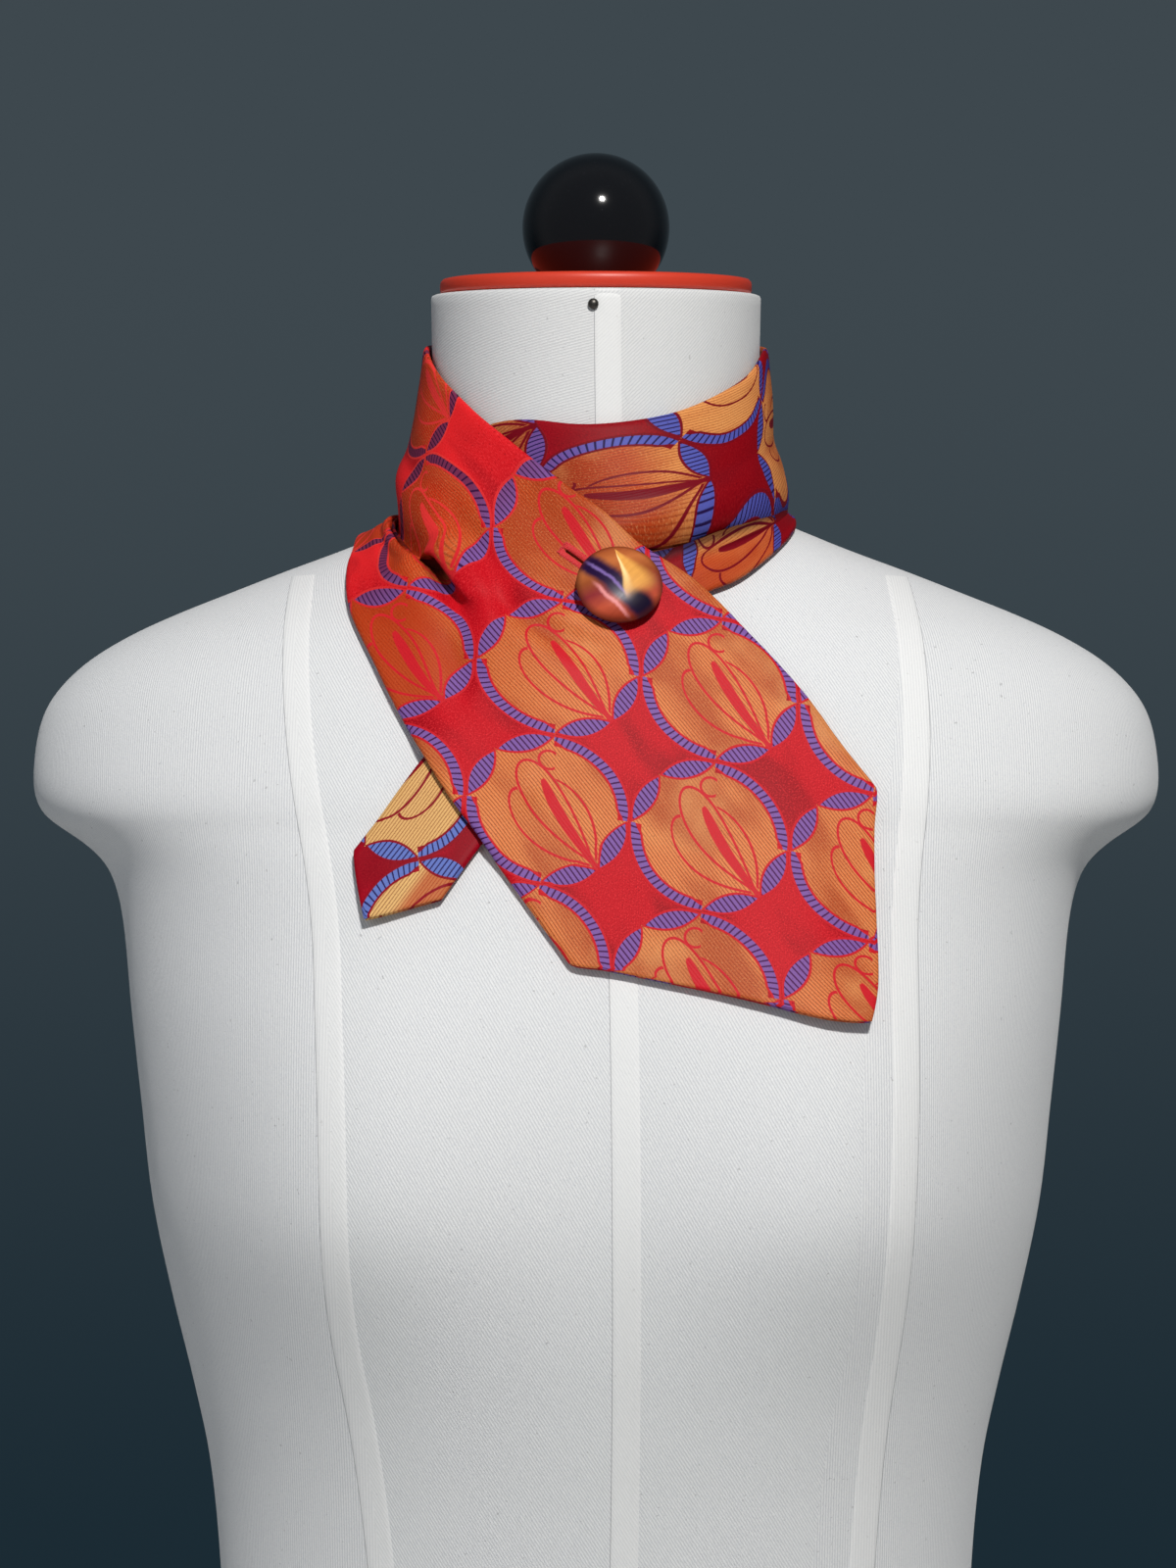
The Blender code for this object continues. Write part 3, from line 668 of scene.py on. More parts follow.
class Paint:
    """A material and the nodes that go into it."""

    def __init__(self, name, **constants):
        self.material = bpy.data.materials.new(name)
        self.material.use_nodes = True
        self.nodes, self.links = self.material.node_tree.nodes, self.material.node_tree.links
        self.shader = self.nodes["Principled BSDF"]
        for socket, value in constants.items():
            self.shader.inputs[socket.replace("_", " ")].default_value = value

    def add(self, kind, settings=None, **sockets):
        node = self.nodes.new("ShaderNode" + kind)
        for key, value in (settings or {}).items():
            if key == "stops":
                ramp = node.color_ramp
                while len(ramp.elements) < len(value):
                    ramp.elements.new(0.5)
                for stop, (at, colour) in zip(ramp.elements, value):
                    stop.position, stop.color = at, colour
            elif key == "blend":
                node.color_ramp.interpolation = value
            else:
                setattr(node, key, value)
        for key, value in sockets.items():
            numbered = key[0] == "i" and key[1:].isdigit()
            self.feed(node.inputs[int(key[1:]) if numbered else key.replace("_", " ")], value)
        return node

    def feed(self, socket, value):
        if isinstance(value, Sum):
            value = value.socket
        if isinstance(value, bpy.types.NodeSocket):
            self.links.new(value, socket)
        else:
            socket.default_value = value

    def math(self, operation, *values, clamp=False):
        node = self.add("Math", {"operation": operation, "use_clamp": clamp},
                        **{f"i{k}": v for k, v in enumerate(values)})
        return Sum(self, node.outputs[0])

    def fract(self, value):
        return self.math("FRACT", value)

    def waves(self, value):
        """A number that goes from 1 down to 0 and back once for each whole step of the value."""
        return abs(self.fract(value) - 0.5) * 2

    def far(self, x, y):
        return self.math("SQRT", x * x + y * y)

    def flat(self, x, y):
        """Two numbers as a place."""
        return self.add("CombineXYZ", None, X=x, Y=y).outputs[0]

    def soft(self, value, start, stop):
        """A number that eases from 0 at the start to 1 at the stop."""
        node = self.add("MapRange", {"interpolation_type": "SMOOTHSTEP"}, Value=value, From_Min=start,
                        From_Max=stop)
        return Sum(self, node.outputs[0])

    def mix(self, factor, a, b, blend="MIX"):
        node = self.add("Mix", {"data_type": "RGBA", "blend_type": blend}, i0=factor, i6=a, i7=b)
        return node.outputs[2]

    def noise(self, vector, scale, detail=2.0, roughness=0.5):
        node = self.add("TexNoise", None, Vector=vector, Scale=scale, Detail=detail, Roughness=roughness)
        return Sum(self, node.outputs[0])

    def ramp(self, value, stops, blend="LINEAR"):
        return self.add("ValToRGB", {"stops": stops, "blend": blend}, Fac=value).outputs[0]

    def over(self, look, amount, *rgb):
        """A look with a screen colour mixed in."""
        return self.mix(amount, look, dye(*rgb))

    def where(self):
        return self.add("TexCoord").outputs["Object"]

    def uv(self, name):
        parts = self.add("SeparateXYZ", None, Vector=self.add("UVMap", {"uv_map": name}).outputs[0])
        return Sum(self, parts.outputs[0]), Sum(self, parts.outputs[1])

    def bump(self, height, strength, distance):
        return self.add("Bump", None, Strength=strength, Distance=distance, Height=height).outputs[0]

    def finish(self, **sockets):
        for socket, value in sockets.items():
            self.feed(self.shader.inputs[socket.replace("_", " ")], value)
        return self.material


class Sky(Paint):
    """The light from all round, and the plain dark wall behind the form."""

    def __init__(self, name):
        self.material = bpy.data.worlds.new(name)
        self.material.use_nodes = True
        self.nodes, self.links = self.material.node_tree.nodes, self.material.node_tree.links
        self.shader = self.nodes["Background"]


def ramp_along(paint, place, stops):
    """A colour, or a number, that changes along the tie."""
    numbers = not isinstance(stops[0][1], tuple)
    ramp = paint.ramp(place, [((at - PLACE_START) / PLACE_LENGTH,
                               (value,) * 3 + (1.0,) if numbers else dye(*value)) for at, value in stops])
    return Sum(paint, ramp) if numbers else ramp


def drop_shape(paint, s, t, head, tail, belly, bend=0.0, turn=0.0):
    """How far a place is from the edge of a teardrop, less than 0 inside it."""
    c, n = math.cos(turn), math.sin(turn)
    along = (s - tail) * c - t * n + tail
    aside = (s - tail) * n + t * c
    q = (along - head) * (1 / (tail - head))
    rest = 1 - q
    aside = aside - rest * rest * bend
    size = belly ** 2 / 0.1481
    inside = aside * aside - q * rest * rest * size
    slope_along = rest * (1 - 3 * q) * (size / (tail - head))
    slope = paint.math("SQRT", aside * aside * 4 + slope_along * slope_along + 1e-5)
    return inside / slope


# The weave, in shares of its repeat: where a ladder's middle lies from a ring's, where a leaf's
# does, half a leaf's length, half its width, and how many rungs a quarter ring has.
LADDER_AT, LEAF_AT, LEAF_LONG, LEAF_WIDE, RUNGS = 0.460, 0.450, 0.178, 0.060, 19
# The cloth's threads: the leaves' stripes, the ribs inside the rings and the satin's twill, in millimetres.
STRIPE_WIDTH, RIB_WIDTH, TWILL_WIDTH = 1.42, 0.9, 0.62


def tie_cloth():
    """Satin ground woven with rings of leaves and rungs round a bud."""
    paint = Paint("tie_cloth", Specular_IOR_Level=0.1)
    across, along = paint.uv("cloth")
    on_width, place = paint.uv("place")
    u, v = across * 1000, along * 1000
    down_tie = place * PLACE_LENGTH + PLACE_START
    wobble = paint.add("UVMap", {"uv_map": "cloth"}).outputs[0]
    back = np.linalg.inv(np.array([REPEAT_RIGHT, REPEAT_UP]).T)
    du, dv = u - RING_MIDDLE[0], v - RING_MIDDLE[1]
    a = du * float(back[0, 0]) + dv * float(back[0, 1])
    b = du * float(back[1, 0]) + dv * float(back[1, 1])
    where = down_tie + u * 0.8
    seam = 0.0
    for at, shift_a, shift_b in PIECING:
        past = where < at
        a, b = a + past * shift_a, b + past * shift_b
        seam = paint.math("MAXIMUM", seam, abs(where - at) < 0.4)
    fa = a - paint.math("FLOOR", a + 0.5)
    fb = b - paint.math("FLOOR", b + 0.5)
    r = paint.far(fa, fb)
    same = (fa * fb) > 0
    other = 1 - same
    p, q = abs(fa), abs(fb)
    turn = paint.math("ARCTAN2", q, p)
    taper = paint.soft(abs(turn - math.pi / 4), 0.60, 0.80)
    ladder_rim = abs(r - LADDER_AT - taper * 0.014) - 0.037 + taper * 0.017
    ladder_edge = paint.math("MAXIMUM", ladder_rim, (abs(turn - math.pi / 4) - 0.785) * 0.46)
    rungs_place = (ladder_edge < 0) * same
    rung = paint.fract(turn * (RUNGS / (math.pi / 2)) + (r - 0.462) * 5 + 0.3)
    rung_light = paint.soft(abs(rung - 0.5), 0.43, 0.31)
    far, near = paint.math("MAXIMUM", p, q), paint.math("MINIMUM", p, q)
    c8, s8 = math.cos(math.pi / 8), math.sin(math.pi / 8)
    leaf_out = far * c8 + near * s8 - LEAF_AT
    leaf_on = near * c8 - far * s8
    belly = 1 - leaf_on * leaf_on * (1 / LEAF_LONG ** 2)
    leaf_edge = abs(leaf_out) - belly * LEAF_WIDE
    leaf = (leaf_edge < 0) * other
    stripe = paint.fract(u * (1 / STRIPE_WIDTH) + 0.2)
    stripe_light = paint.soft(abs(stripe - 0.5), 0.43, 0.29)
    fill_round = (r < 0.425) * same
    fill_leaf = ((leaf_out + belly * LEAF_WIDE) < 0) * (r < 0.50) * other
    fill = paint.math("MAXIMUM", fill_round, fill_leaf)
    rim_lines = abs(ladder_rim) + other
    leaf_lines = abs(leaf_edge) + same + (r > 0.56) * 1
    s = (fa - fb) * (1 / math.sqrt(2))
    t = (fa + fb) * (1 / math.sqrt(2))
    heart = drop_shape(paint, s, t, -0.33, 0.43, 0.115, 0.07)
    right_petal = drop_shape(paint, s, t, -0.20, 0.45, 0.120, 0.16, -0.42)
    left_petal = drop_shape(paint, s, t, -0.16, 0.45, 0.105, -0.13, 0.40)
    stroke = drop_shape(paint, s, t, -0.16, 0.47, 0.027, 0.09)
    behind = heart > 0.012
    lines = paint.math("MINIMUM", abs(heart), abs(right_petal) + (1 - behind))
    lines = paint.math("MINIMUM", lines, abs(left_petal) + (1 - behind) + (right_petal < 0.012) * 1)
    lines = paint.math("MINIMUM", lines, stroke)
    curl_s, curl_t = s + 0.245, t - 0.215
    curl = abs(paint.far(curl_s, curl_t) - 0.062) + ((curl_s + curl_t) > 0.055) * 1
    lines = paint.math("MINIMUM", lines, curl + (right_petal < 0.012) * 1)
    bud = paint.soft(lines, 0.0105, 0.0060) * fill
    frame_line = paint.soft(paint.math("MINIMUM", rim_lines, leaf_lines), 0.0095, 0.0055)
    weave = paint.noise(wobble, 2000, 2.0, 0.6)
    painted_sheen_patches = paint.noise(wobble, 26, 3.0, 0.55)
    rib = paint.waves(u * (1 / RIB_WIDTH))
    twill = paint.waves((u + v * 0.7) * (1 / TWILL_WIDTH))
    # The thread colours change along the tie: partly the cloth's own, partly painted light, lighter where the
    # satin catches the light and darker where it lies in shade.
    thread_colours_and_painted_light = {
        "ground": [(-700, (166, 0, 28)), (-560, (160, 0, 28)), (-450, (128, 0, 12)), (-400, (134, 0, 14)),
                   (-300, (164, 2, 22)), (-206, (230, 32, 36)), (-165, (232, 34, 38)), (-130, (192, 8, 24)),
                   (-60, (190, 8, 26)), (100, (194, 12, 28))],
        "fill": [(-700, (228, 186, 122)), (-600, (224, 178, 112)), (-540, (220, 172, 106)),
                 (-486, (158, 48, 14)), (-468, (184, 72, 26)), (-454, (220, 144, 80)),
                 (-430, (224, 150, 86)), (-394, (214, 124, 64)), (-300, (184, 54, 22)),
                 (-206, (200, 48, 20)), (-165, (200, 50, 20)), (-130, (196, 80, 34)),
                 (-60, (222, 128, 72)), (20, (220, 126, 72)), (100, (214, 116, 66))],
        "light": [(-700, (102, 122, 190)), (-560, (94, 112, 186)), (-490, (110, 76, 144)),
                  (-468, (84, 90, 170)), (-420, (76, 80, 164)), (-390, (62, 52, 136)),
                  (-300, (92, 48, 100)), (-206, (122, 44, 70)), (-152, (112, 44, 80)),
                  (-128, (122, 86, 154)), (-40, (126, 90, 160)), (100, (126, 84, 152))],
        "dark": [(-700, (38, 30, 92)), (-480, (28, 16, 72)), (-300, (44, 8, 40)), (-206, (38, 8, 26)),
                 (-140, (56, 16, 64)), (100, (76, 24, 80))],
        "line": [(-700, (150, 10, 30)), (-480, (110, 4, 22)), (-380, (124, 8, 26)), (-206, (230, 58, 54)),
                 (-165, (226, 52, 50)), (-120, (200, 30, 40)), (100, (198, 28, 40))],
    }
    colour = {name: ramp_along(paint, place, stops) for name, stops in thread_colours_and_painted_light.items()}
    # Broad patches of painted shade, darkening the satin ground here and the fill below.
    shade = paint.noise(paint.flat(u * 0.055, v * 0.022), 1.0, 2.0, 0.5)
    satin = paint.mix(paint.soft(shade, 0.46, 0.62) * 0.5, colour["ground"], dye(104, 0, 14))
    # Painted glints: fine specks of the satin lightened, strong on the front and faint on the band and narrow
    # end.
    painted_glint_amount = ramp_along(paint, place, [(-700, 0.12), (-300, 0.12), (-206, 0.6), (100, 0.6)])
    satin = paint.over(satin, paint.soft(weave, 0.46, 0.74) * painted_glint_amount, 240, 56, 62)
    satin = paint.over(satin, paint.soft(twill, 0.55, 1.0) * 0.25, 130, 0, 16)
    gold = ramp_along(paint, place, [(-700, 0.75), (-460, 0.62), (-400, 0.45), (-160, 0.6), (-60, 0.75),
                                     (100, 0.75)])
    ribbed = paint.mix(paint.soft(rib, 0.45, 0.95) * gold, colour["fill"], dye(118, 40, 14))
    # Painted shade on the fill from the same patches, faint on the narrow end.
    painted_fill_shade = ramp_along(paint, place, [(-700, 0.1), (-540, 0.1), (-490, 0.6), (100, 0.6)])
    ribbed = paint.over(ribbed, paint.soft(shade, 0.44, 0.62) * painted_fill_shade, 156, 48, 16)
    # Painted sheen: patches of the fill lightened toward gold, faintest on the left of the neck.
    painted_fill_sheen = ramp_along(paint, place, [(-700, 0.4), (-460, 0.5), (-400, 0.4), (-206, 0.04), (-140, 0.08),
                                     (-90, 0.36), (100, 0.34)])
    ribbed = paint.over(ribbed, paint.soft(painted_sheen_patches, 0.52, 0.72) * painted_fill_sheen, 238, 176, 110)
    # Painted glints: fine specks of the fill lightened.
    ribbed = paint.over(ribbed, paint.soft(weave, 0.5, 0.8) * 0.3, 250, 196, 130)
    # Painted shade on the fill along the wide end's low edge, toward the neck, where the cloth curves away.
    painted_shade_left = paint.soft(on_width, 0.36, 0.22) * paint.soft(down_tie, -78, -96)
    ribbed = paint.over(ribbed, painted_shade_left * 0.7, 176, 50, 16)
    rungs = paint.mix(rung_light, colour["dark"], colour["light"])
    leaves = paint.mix(stripe_light, colour["dark"], colour["light"])
    look = paint.mix(fill, satin, ribbed)
    look = paint.mix(rungs_place, look, rungs)
    look = paint.mix(leaf, look, leaves)
    look = paint.mix(bud, look, colour["line"])
    look = paint.mix(frame_line, look, colour["line"])
    look = paint.over(look, paint.soft(weave, 0.42, 0.24) * 0.55, 54, 0, 12)
    look = paint.over(look, seam * 0.7, 50, 0, 12)
    # Painted shade darkens the cloth just below each tuck's overhanging lip.
    for (start, from_share, stop, to_share, _, _, _), (width, light, dark) in zip(TUCKS, PAINTED_LIP_SHADE):
        t = (down_tie - start) * (1 / (stop - start))
        x = (on_width - from_share - t * (to_share - from_share)) * width
        painted_lip_shade = paint.soft(x, light, dark) * paint.soft(x, 3.4, 2.4)
        painted_lip_shade = painted_lip_shade * paint.soft(t, 0.03, 0.2) * paint.soft(t, 0.97, 0.85)
        look = paint.over(look, painted_lip_shade * 0.8, 26, 0, 8)
    relief = (fill * 0.4 + rungs_place * rung_light * 0.8 + leaf * stripe_light * 0.8 + rib * fill * -0.3
              + weave * 0.5 + frame_line * 0.5 - seam * 3)
    rough = 0.46 - fill * 0.03 + weave * 0.12
    return paint.finish(Base_Color=look, Roughness=rough, Normal=paint.bump(relief, 0.4, 0.00025))


def form_cover(name, tape=False):
    """Off white twill, its lines steep on the front and upright on the sides, with a few flecks."""
    paint = Paint(name, Sheen_Weight=0.12, Sheen_Roughness=0.5, Specular_IOR_Level=0.2)
    across, up = paint.uv("cloth")
    where = paint.where()
    spot = paint.add("SeparateXYZ", None, Vector=where)
    x, z = Sum(paint, spot.outputs[0]) * 1000, Sum(paint, spot.outputs[2]) * 1000
    u, v = across * 1000, up * 1000
    thread = paint.noise(where, 1300, 2.0, 0.6)
    cloud = paint.noise(where, 9, 3.0, 0.5)
    fleck = paint.soft(paint.noise(where, 700, 1.0, 0.5), 0.74, 0.80)
    seams = [(row[0], abs(row[1])) for row in FRONT_TAPES["left"][::-1]]
    stops = [(height / 700, (at / 150,) * 3 + (1.0,)) for height, at in seams]
    seam_at = Sum(paint, paint.ramp(z * (1 / 700), stops)) * 150
    beside = abs(x) > seam_at
    neck = z > 592
    neck_left = x < 0
    front_way = u * 0.87 + v * 0.50
    neck_way = (v * 0.72 - u * 0.69) * (1 - neck_left) + (v * 0.97 - u * 0.24) * neck_left
    way = front_way * (1 - beside) * (1 - neck) + u * beside * (1 - neck) + neck_way * neck
    wave = paint.waves(way * (1 / 0.88) + thread * 0.45)
    look = paint.mix(paint.soft(wave, 0.35, 0.95) * 0.6, dye(230, 231, 231), dye(176, 178, 182))
    look = paint.over(look, paint.soft(thread, 0.4, 0.75) * 0.3, 200, 203, 210)
    look = paint.over(look, cloud * 0.18, 212, 213, 220)
    look = paint.over(look, neck * 0.3, 196, 194, 190)
    look = paint.over(look, fleck * 0.4, 130, 128, 130)
    relief = wave * 0.8 + thread
    if tape:
        look = paint.over(look, 0.50, 236, 236, 235)
        strip, _ = paint.uv("strip")
        # A stitched line in the tape's ditch, sunk in the bump and painted darker: partly its thread, partly
        # painted shade in the ditch.
        stitch_and_ditch_shade = (strip > 0.90) * (strip < 0.99)
        look = paint.over(look, stitch_and_ditch_shade * 0.65, 130, 130, 136)
        relief = relief * 0.5 - stitch_and_ditch_shade * 2.5
    return paint.finish(Base_Color=look, Roughness=0.86 + thread * 0.08,
                        Normal=paint.bump(relief, 0.4, 0.00018))


def pearl_button():
    """Polished shell: violet bands over orange, with a painted gold highlight from the top and a painted
    highlight streak in it.
    """
    paint = Paint("button", Specular_IOR_Level=0.12)
    across, up = paint.uv("face")
    bend = paint.noise(paint.flat(across, up), 1.3, 1.0, 0.5) - 0.5
    grain = paint.noise(paint.flat((across + up) * 0.8, (across - up) * 7), 1.0, 3.0, 0.55) - 0.5
    x, y = across + bend * 0.16, up + bend * 0.12
    look = paint.ramp((y - x * 0.3 + 1.0) * 0.5 + grain * 0.08,
                      [(0.0, dye(132, 44, 24)), (0.22, dye(190, 82, 56)), (0.40, dye(138, 46, 50)),
                       (0.58, dye(150, 76, 40)), (0.78, dye(190, 108, 58)), (1.0, dye(150, 66, 30))])
    band = x * 0.70 + y * 0.71 + 0.14 + grain * 0.07
    night = paint.soft(abs(band), 0.34, 0.14)
    look = paint.over(look, night, 34, 14, 54)
    streak = paint.soft(abs(band - 0.02), 0.07, 0.0) * paint.soft(x, 0.30, -0.05) * paint.soft(x, -0.9, -0.5)
    look = paint.over(look, streak * 0.75, 140, 112, 184)
    rose = paint.soft(abs(band + 0.36), 0.09, 0.0) * paint.soft(abs(x + 0.22), 0.5, 0.2)
    look = paint.over(look, rose * 0.85, 236, 150, 150)
    # Painted highlight: a gold sector from the top of the shell, with a lighter streak along it.
    turn = paint.math("ARCTAN2", y - 0.86, x + 0.10)
    length = paint.far(x + 0.10, y - 0.86)
    painted_gold_highlight = paint.soft(turn, -1.42, -1.34) * paint.soft(turn, -0.55, -0.95) * paint.soft(length, 1.45, 1.05)
    look = paint.over(look, painted_gold_highlight * (0.82 + grain * 0.6), 238, 172, 84)
    painted_highlight_streak = (paint.soft(abs(turn + 1.30), 0.13, 0.0) * paint.soft(length, 1.3, 0.6)
              * paint.soft(length, 0.05, 0.3))
    look = paint.over(look, painted_highlight_streak * 0.9, 255, 226, 160)
    corner = paint.soft(paint.far(x - 0.50, y + 0.56), 0.42, 0.14)
    look = paint.over(look, corner, 24, 14, 38)
    rim = paint.soft(paint.far(across, up), 0.84, 1.0)
    look = paint.over(look, rim * 0.55, 84, 32, 18)
    return paint.finish(Base_Color=look, Roughness=0.30 + grain * 0.1)


def cap_paint():
    """Smooth red plastic, a little scuffed."""
    paint = Paint("neck_cap", Specular_IOR_Level=0.5)
    where = paint.where()
    scuff = paint.noise(where, 60, 4.0, 0.6)
    look = paint.mix(scuff * 0.5, dye(214, 62, 36), dye(190, 44, 28))
    return paint.finish(Base_Color=look, Roughness=0.34 + scuff * 0.16,
                        Normal=paint.bump(paint.noise(where, 500, 3.0, 0.6), 0.08, 0.0002))


def ball_paint():
    """Polished black, with a little dust."""
    paint = Paint("ball", Coat_Roughness=0.04, IOR=1.42)
    where = paint.where()
    dust = paint.soft(paint.noise(where, 900, 2.0, 0.6), 0.62, 0.8)
    look = paint.mix(dust * 0.10, dye(8, 9, 13), dye(60, 62, 70))
    return paint.finish(Base_Color=look, Roughness=0.10 + dust * 0.12, Coat_Weight=0.25)


def pin_paint():
    """Dull dark metal."""
    paint = Paint("pin", Metallic=0.85)
    where = paint.where()
    look = paint.mix(paint.noise(where, 900, 2.0), dye(52, 50, 48), dye(96, 92, 88))
    return paint.finish(Base_Color=look, Roughness=0.38)


def red_thread():
    """Twisted thread of the buttonhole."""
    paint = Paint("red_thread", Sheen_Weight=0.3)
    where = paint.where()
    twist = paint.noise(where, 1800, 3.0, 0.6)
    look = paint.mix(twist, dye(176, 6, 20), dye(236, 36, 44))
    return paint.finish(Base_Color=look, Roughness=0.6, Normal=paint.bump(twist, 0.4, 0.0002))


# The tie: one flattened tube of cloth, pointed at both ends.
tie_bm = laid_grid(tube, uv, place)
bmesh.ops.remove_doubles(tie_bm, verts=tie_bm.verts, dist=0.004)
face_out(tie_bm)

button_foot = off_form(*BUTTON_SPOT, 0)
facing = np.array(BUTTON_FACING) / np.linalg.norm(BUTTON_FACING)
far_out = Vector(button_foot + facing * 60)


def height_on(tree):
    """How far out along the button's axis a surface lies."""
    hit = tree.ray_cast(far_out, Vector(-facing), 90)[0]
    return (np.array(hit) - button_foot) @ facing


before_cut = BVHTree.FromBMesh(tie_bm)
cloth_top = height_on(before_cut)
tie = finished(tie_bm, "tie", tie_cloth())
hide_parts("wide_end", "neck_wrap", "under_band", "narrow_end")

# The buttonhole: a slit cut through the wide end, bound in red thread.
band_top = height_on(node_tree("under_band"))
slit = np.array([-0.78, 0.24, 0.61])
slit -= facing * (slit @ facing)
slit /= np.linalg.norm(slit)
beside = np.cross(facing, slit)

slit_end = BUTTONHOLE_LENGTH - BUTTONHOLE_EYE - 1.5


def slit_cutter():
    """A keyhole of the slit's outline that ends between the wide end and the band beneath."""
    bm = bmesh.new()
    eye = np.linspace(0.18, 2 * math.pi - 0.18, 16)
    outline = [(SLIT_EYE * math.cos(a), SLIT_EYE * math.sin(a)) for a in eye]
    outline += [(a, -SLIT_HALF) for a in np.linspace(SLIT_EYE + 2, slit_end, 8)]
    outline += [(a, SLIT_HALF) for a in np.linspace(slit_end, SLIT_EYE + 2, 8)]
    face = bm.faces.new([bm.verts.new(Vector((a, b, 0))) for a, b in outline])
    made = bmesh.ops.extrude_face_region(bm, geom=[face])
    up = {v for v in made["geom"] if isinstance(v, bmesh.types.BMVert)}
    for v in bm.verts:
        start = Vector(button_foot + facing * 60 + slit * v.co.x + beside * v.co.y)
        hits, begin = [], start
        for k in range(3):
            hit = before_cut.ray_cast(begin, Vector(-facing), 90)[0]
            if hit is None:
                break
            hits.append(hit)
            begin = hit - Vector(facing) * 0.01
        top, under = hits[0], hits[1]
        beneath_it = hits[2] if len(hits) > 2 else under - Vector(facing) * 0.8
        v.co = top + Vector(facing) * 3 if v in up else (under + beneath_it) / 2
    bmesh.ops.triangulate(bm, faces=bm.faces)
    face_out(bm)
    return meshed(bm, "slit_cutter")


cutter = slit_cutter()
cut = tie.modifiers.new("buttonhole", "BOOLEAN")
cut.operation, cut.solver, cut.object = "DIFFERENCE", "EXACT", cutter
bpy.context.view_layer.update()
cut_mesh = bpy.data.meshes.new_from_object(tie.evaluated_get(bpy.context.evaluated_depsgraph_get()))
tie.modifiers.clear()
tie.data = cut_mesh
bpy.data.objects.remove(cutter, do_unlink=True)
tie_tree = mesh_tree(cut_mesh)


def on_cloth(a, b):
    """The top of the wide end at a way along and beside the slit."""
    start = Vector(button_foot + facing * 60 + slit * a + beside * b)
    hit, normal, _, _ = tie_tree.ray_cast(start, Vector(-facing), 90)
    return np.array(hit), np.array(normal)


def binding():
    """Close bars of thread down both lips of the buttonhole and across its end."""
    bm = bmesh.new()
    bars = []
    for k in range(46):
        a = 1.5 + (slit_end - 1.0) * k / 45
        for lip in (-1, 1):
            wave = 0.14 * math.sin(k * 2.3 + lip)
            bars.append(((a, lip * SLIT_HALF), (a + 0.1 * lip, lip * (2.5 + wave))))
    for k in range(9):
        b = -2.0 + 4.0 * k / 8
        bars.append(((slit_end - 0.3, b), (slit_end + 1.9 + 0.15 * math.sin(k * 1.7), b)))
    for (a0, b0), (a1, b1) in bars:
        points = []
        for t, lift in ((0, -0.5), (0.12, 0.12), (0.5, 0.26), (0.88, 0.12), (1, -0.25)):
            hit, normal = on_cloth(a0 + (a1 - a0) * max(t, 0.12), b0 + (b1 - b0) * max(t, 0.12))
            spot = hit + slit * (a1 - a0) * (t - max(t, 0.12)) + beside * (b1 - b0) * (t - max(t, 0.12))
            points.append(spot + facing * lift)
        way = (points[-1] - points[0]) / np.linalg.norm(points[-1] - points[0])
        wide = np.cross(way, facing)
        last = None
        for p in points:
            ring_made = bmesh.ops.create_circle(bm, cap_ends=False, radius=THREAD_RADIUS, segments=5)["verts"]
            for v in ring_made:
                x, y = v.co.x, v.co.y
                v.co = Vector(p + wide * x + facing * y)
            loop = list(ring_made)
            if last is None:
                bm.faces.new(loop)
            else:
                for m in range(5):
                    n = (m + 1) % 5
                    bm.faces.new((last[m], last[n], loop[n], loop[m]))
            last = loop
        bm.faces.new(last[::-1])
    bmesh.ops.recalc_face_normals(bm, faces=bm.faces)
    return bm


stitches = finished(binding(), "buttonhole_stitches", red_thread())

# The button: a smooth shallow dome turned round its own axis, on a shank.
seat = cloth_top + BUTTON_STAND
shank = seat - band_top - SEAM_GAP
button_line = [(0.0, -shank), (SHANK_RADIUS - 0.5, -shank), (SHANK_RADIUS, 0.5 - shank),
               (SHANK_RADIUS, -0.25), (SHANK_RADIUS + 0.3, 0.0)]
button_line += [(BUTTON_RADIUS - inset, up) for inset, up in
                ((1.6, 0.15), (0.7, 0.45), (0.15, 1.0), (0.0, 1.5), (0.2, 2.0), (0.9, 2.6))]
button_line += [(BUTTON_RADIUS * part, up) for part, up in
                ((0.84, 3.2), (0.7, 3.85), (0.52, 4.4), (0.32, 4.75), (0.14, 4.88), (0.0, 4.9))]


def turned(line, steps, origin, axis, uv_radius=None):
    """A profile of radius and height spun round an axis."""
    bm = bmesh.new()
    points = [bm.verts.new((r, 0, h)) for r, h in line]
    edges = [bm.edges.new((points[k], points[k + 1])) for k in range(len(points) - 1)]
    bmesh.ops.spin(bm, geom=points + edges, cent=(0, 0, 0), axis=(0, 0, 1), dvec=(0, 0, 0), angle=2 * math.pi,
                   steps=steps, use_merge=True)
    bmesh.ops.remove_doubles(bm, verts=bm.verts, dist=0.001)
    face_out(bm)
    if uv_radius:
        layer = bm.loops.layers.uv.new("face")
        for face in bm.faces:
            for loop in face.loops:
                loop[layer].uv = (loop.vert.co.x / uv_radius, loop.vert.co.y / uv_radius)
    turn = Vector(axis).to_track_quat("Z", "Y")
    bmesh.ops.rotate(bm, cent=(0, 0, 0), matrix=turn.to_matrix(), verts=bm.verts)
    bmesh.ops.translate(bm, vec=Vector(origin), verts=bm.verts)
    return bm


button = finished(turned(button_line, 72, button_foot + facing * seat, facing, BUTTON_RADIUS), "button_shell",
                  pearl_button())
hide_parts("button")

cover = finished(cover_bm, "form_cover", form_cover("form_cover"))
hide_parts("form_body")


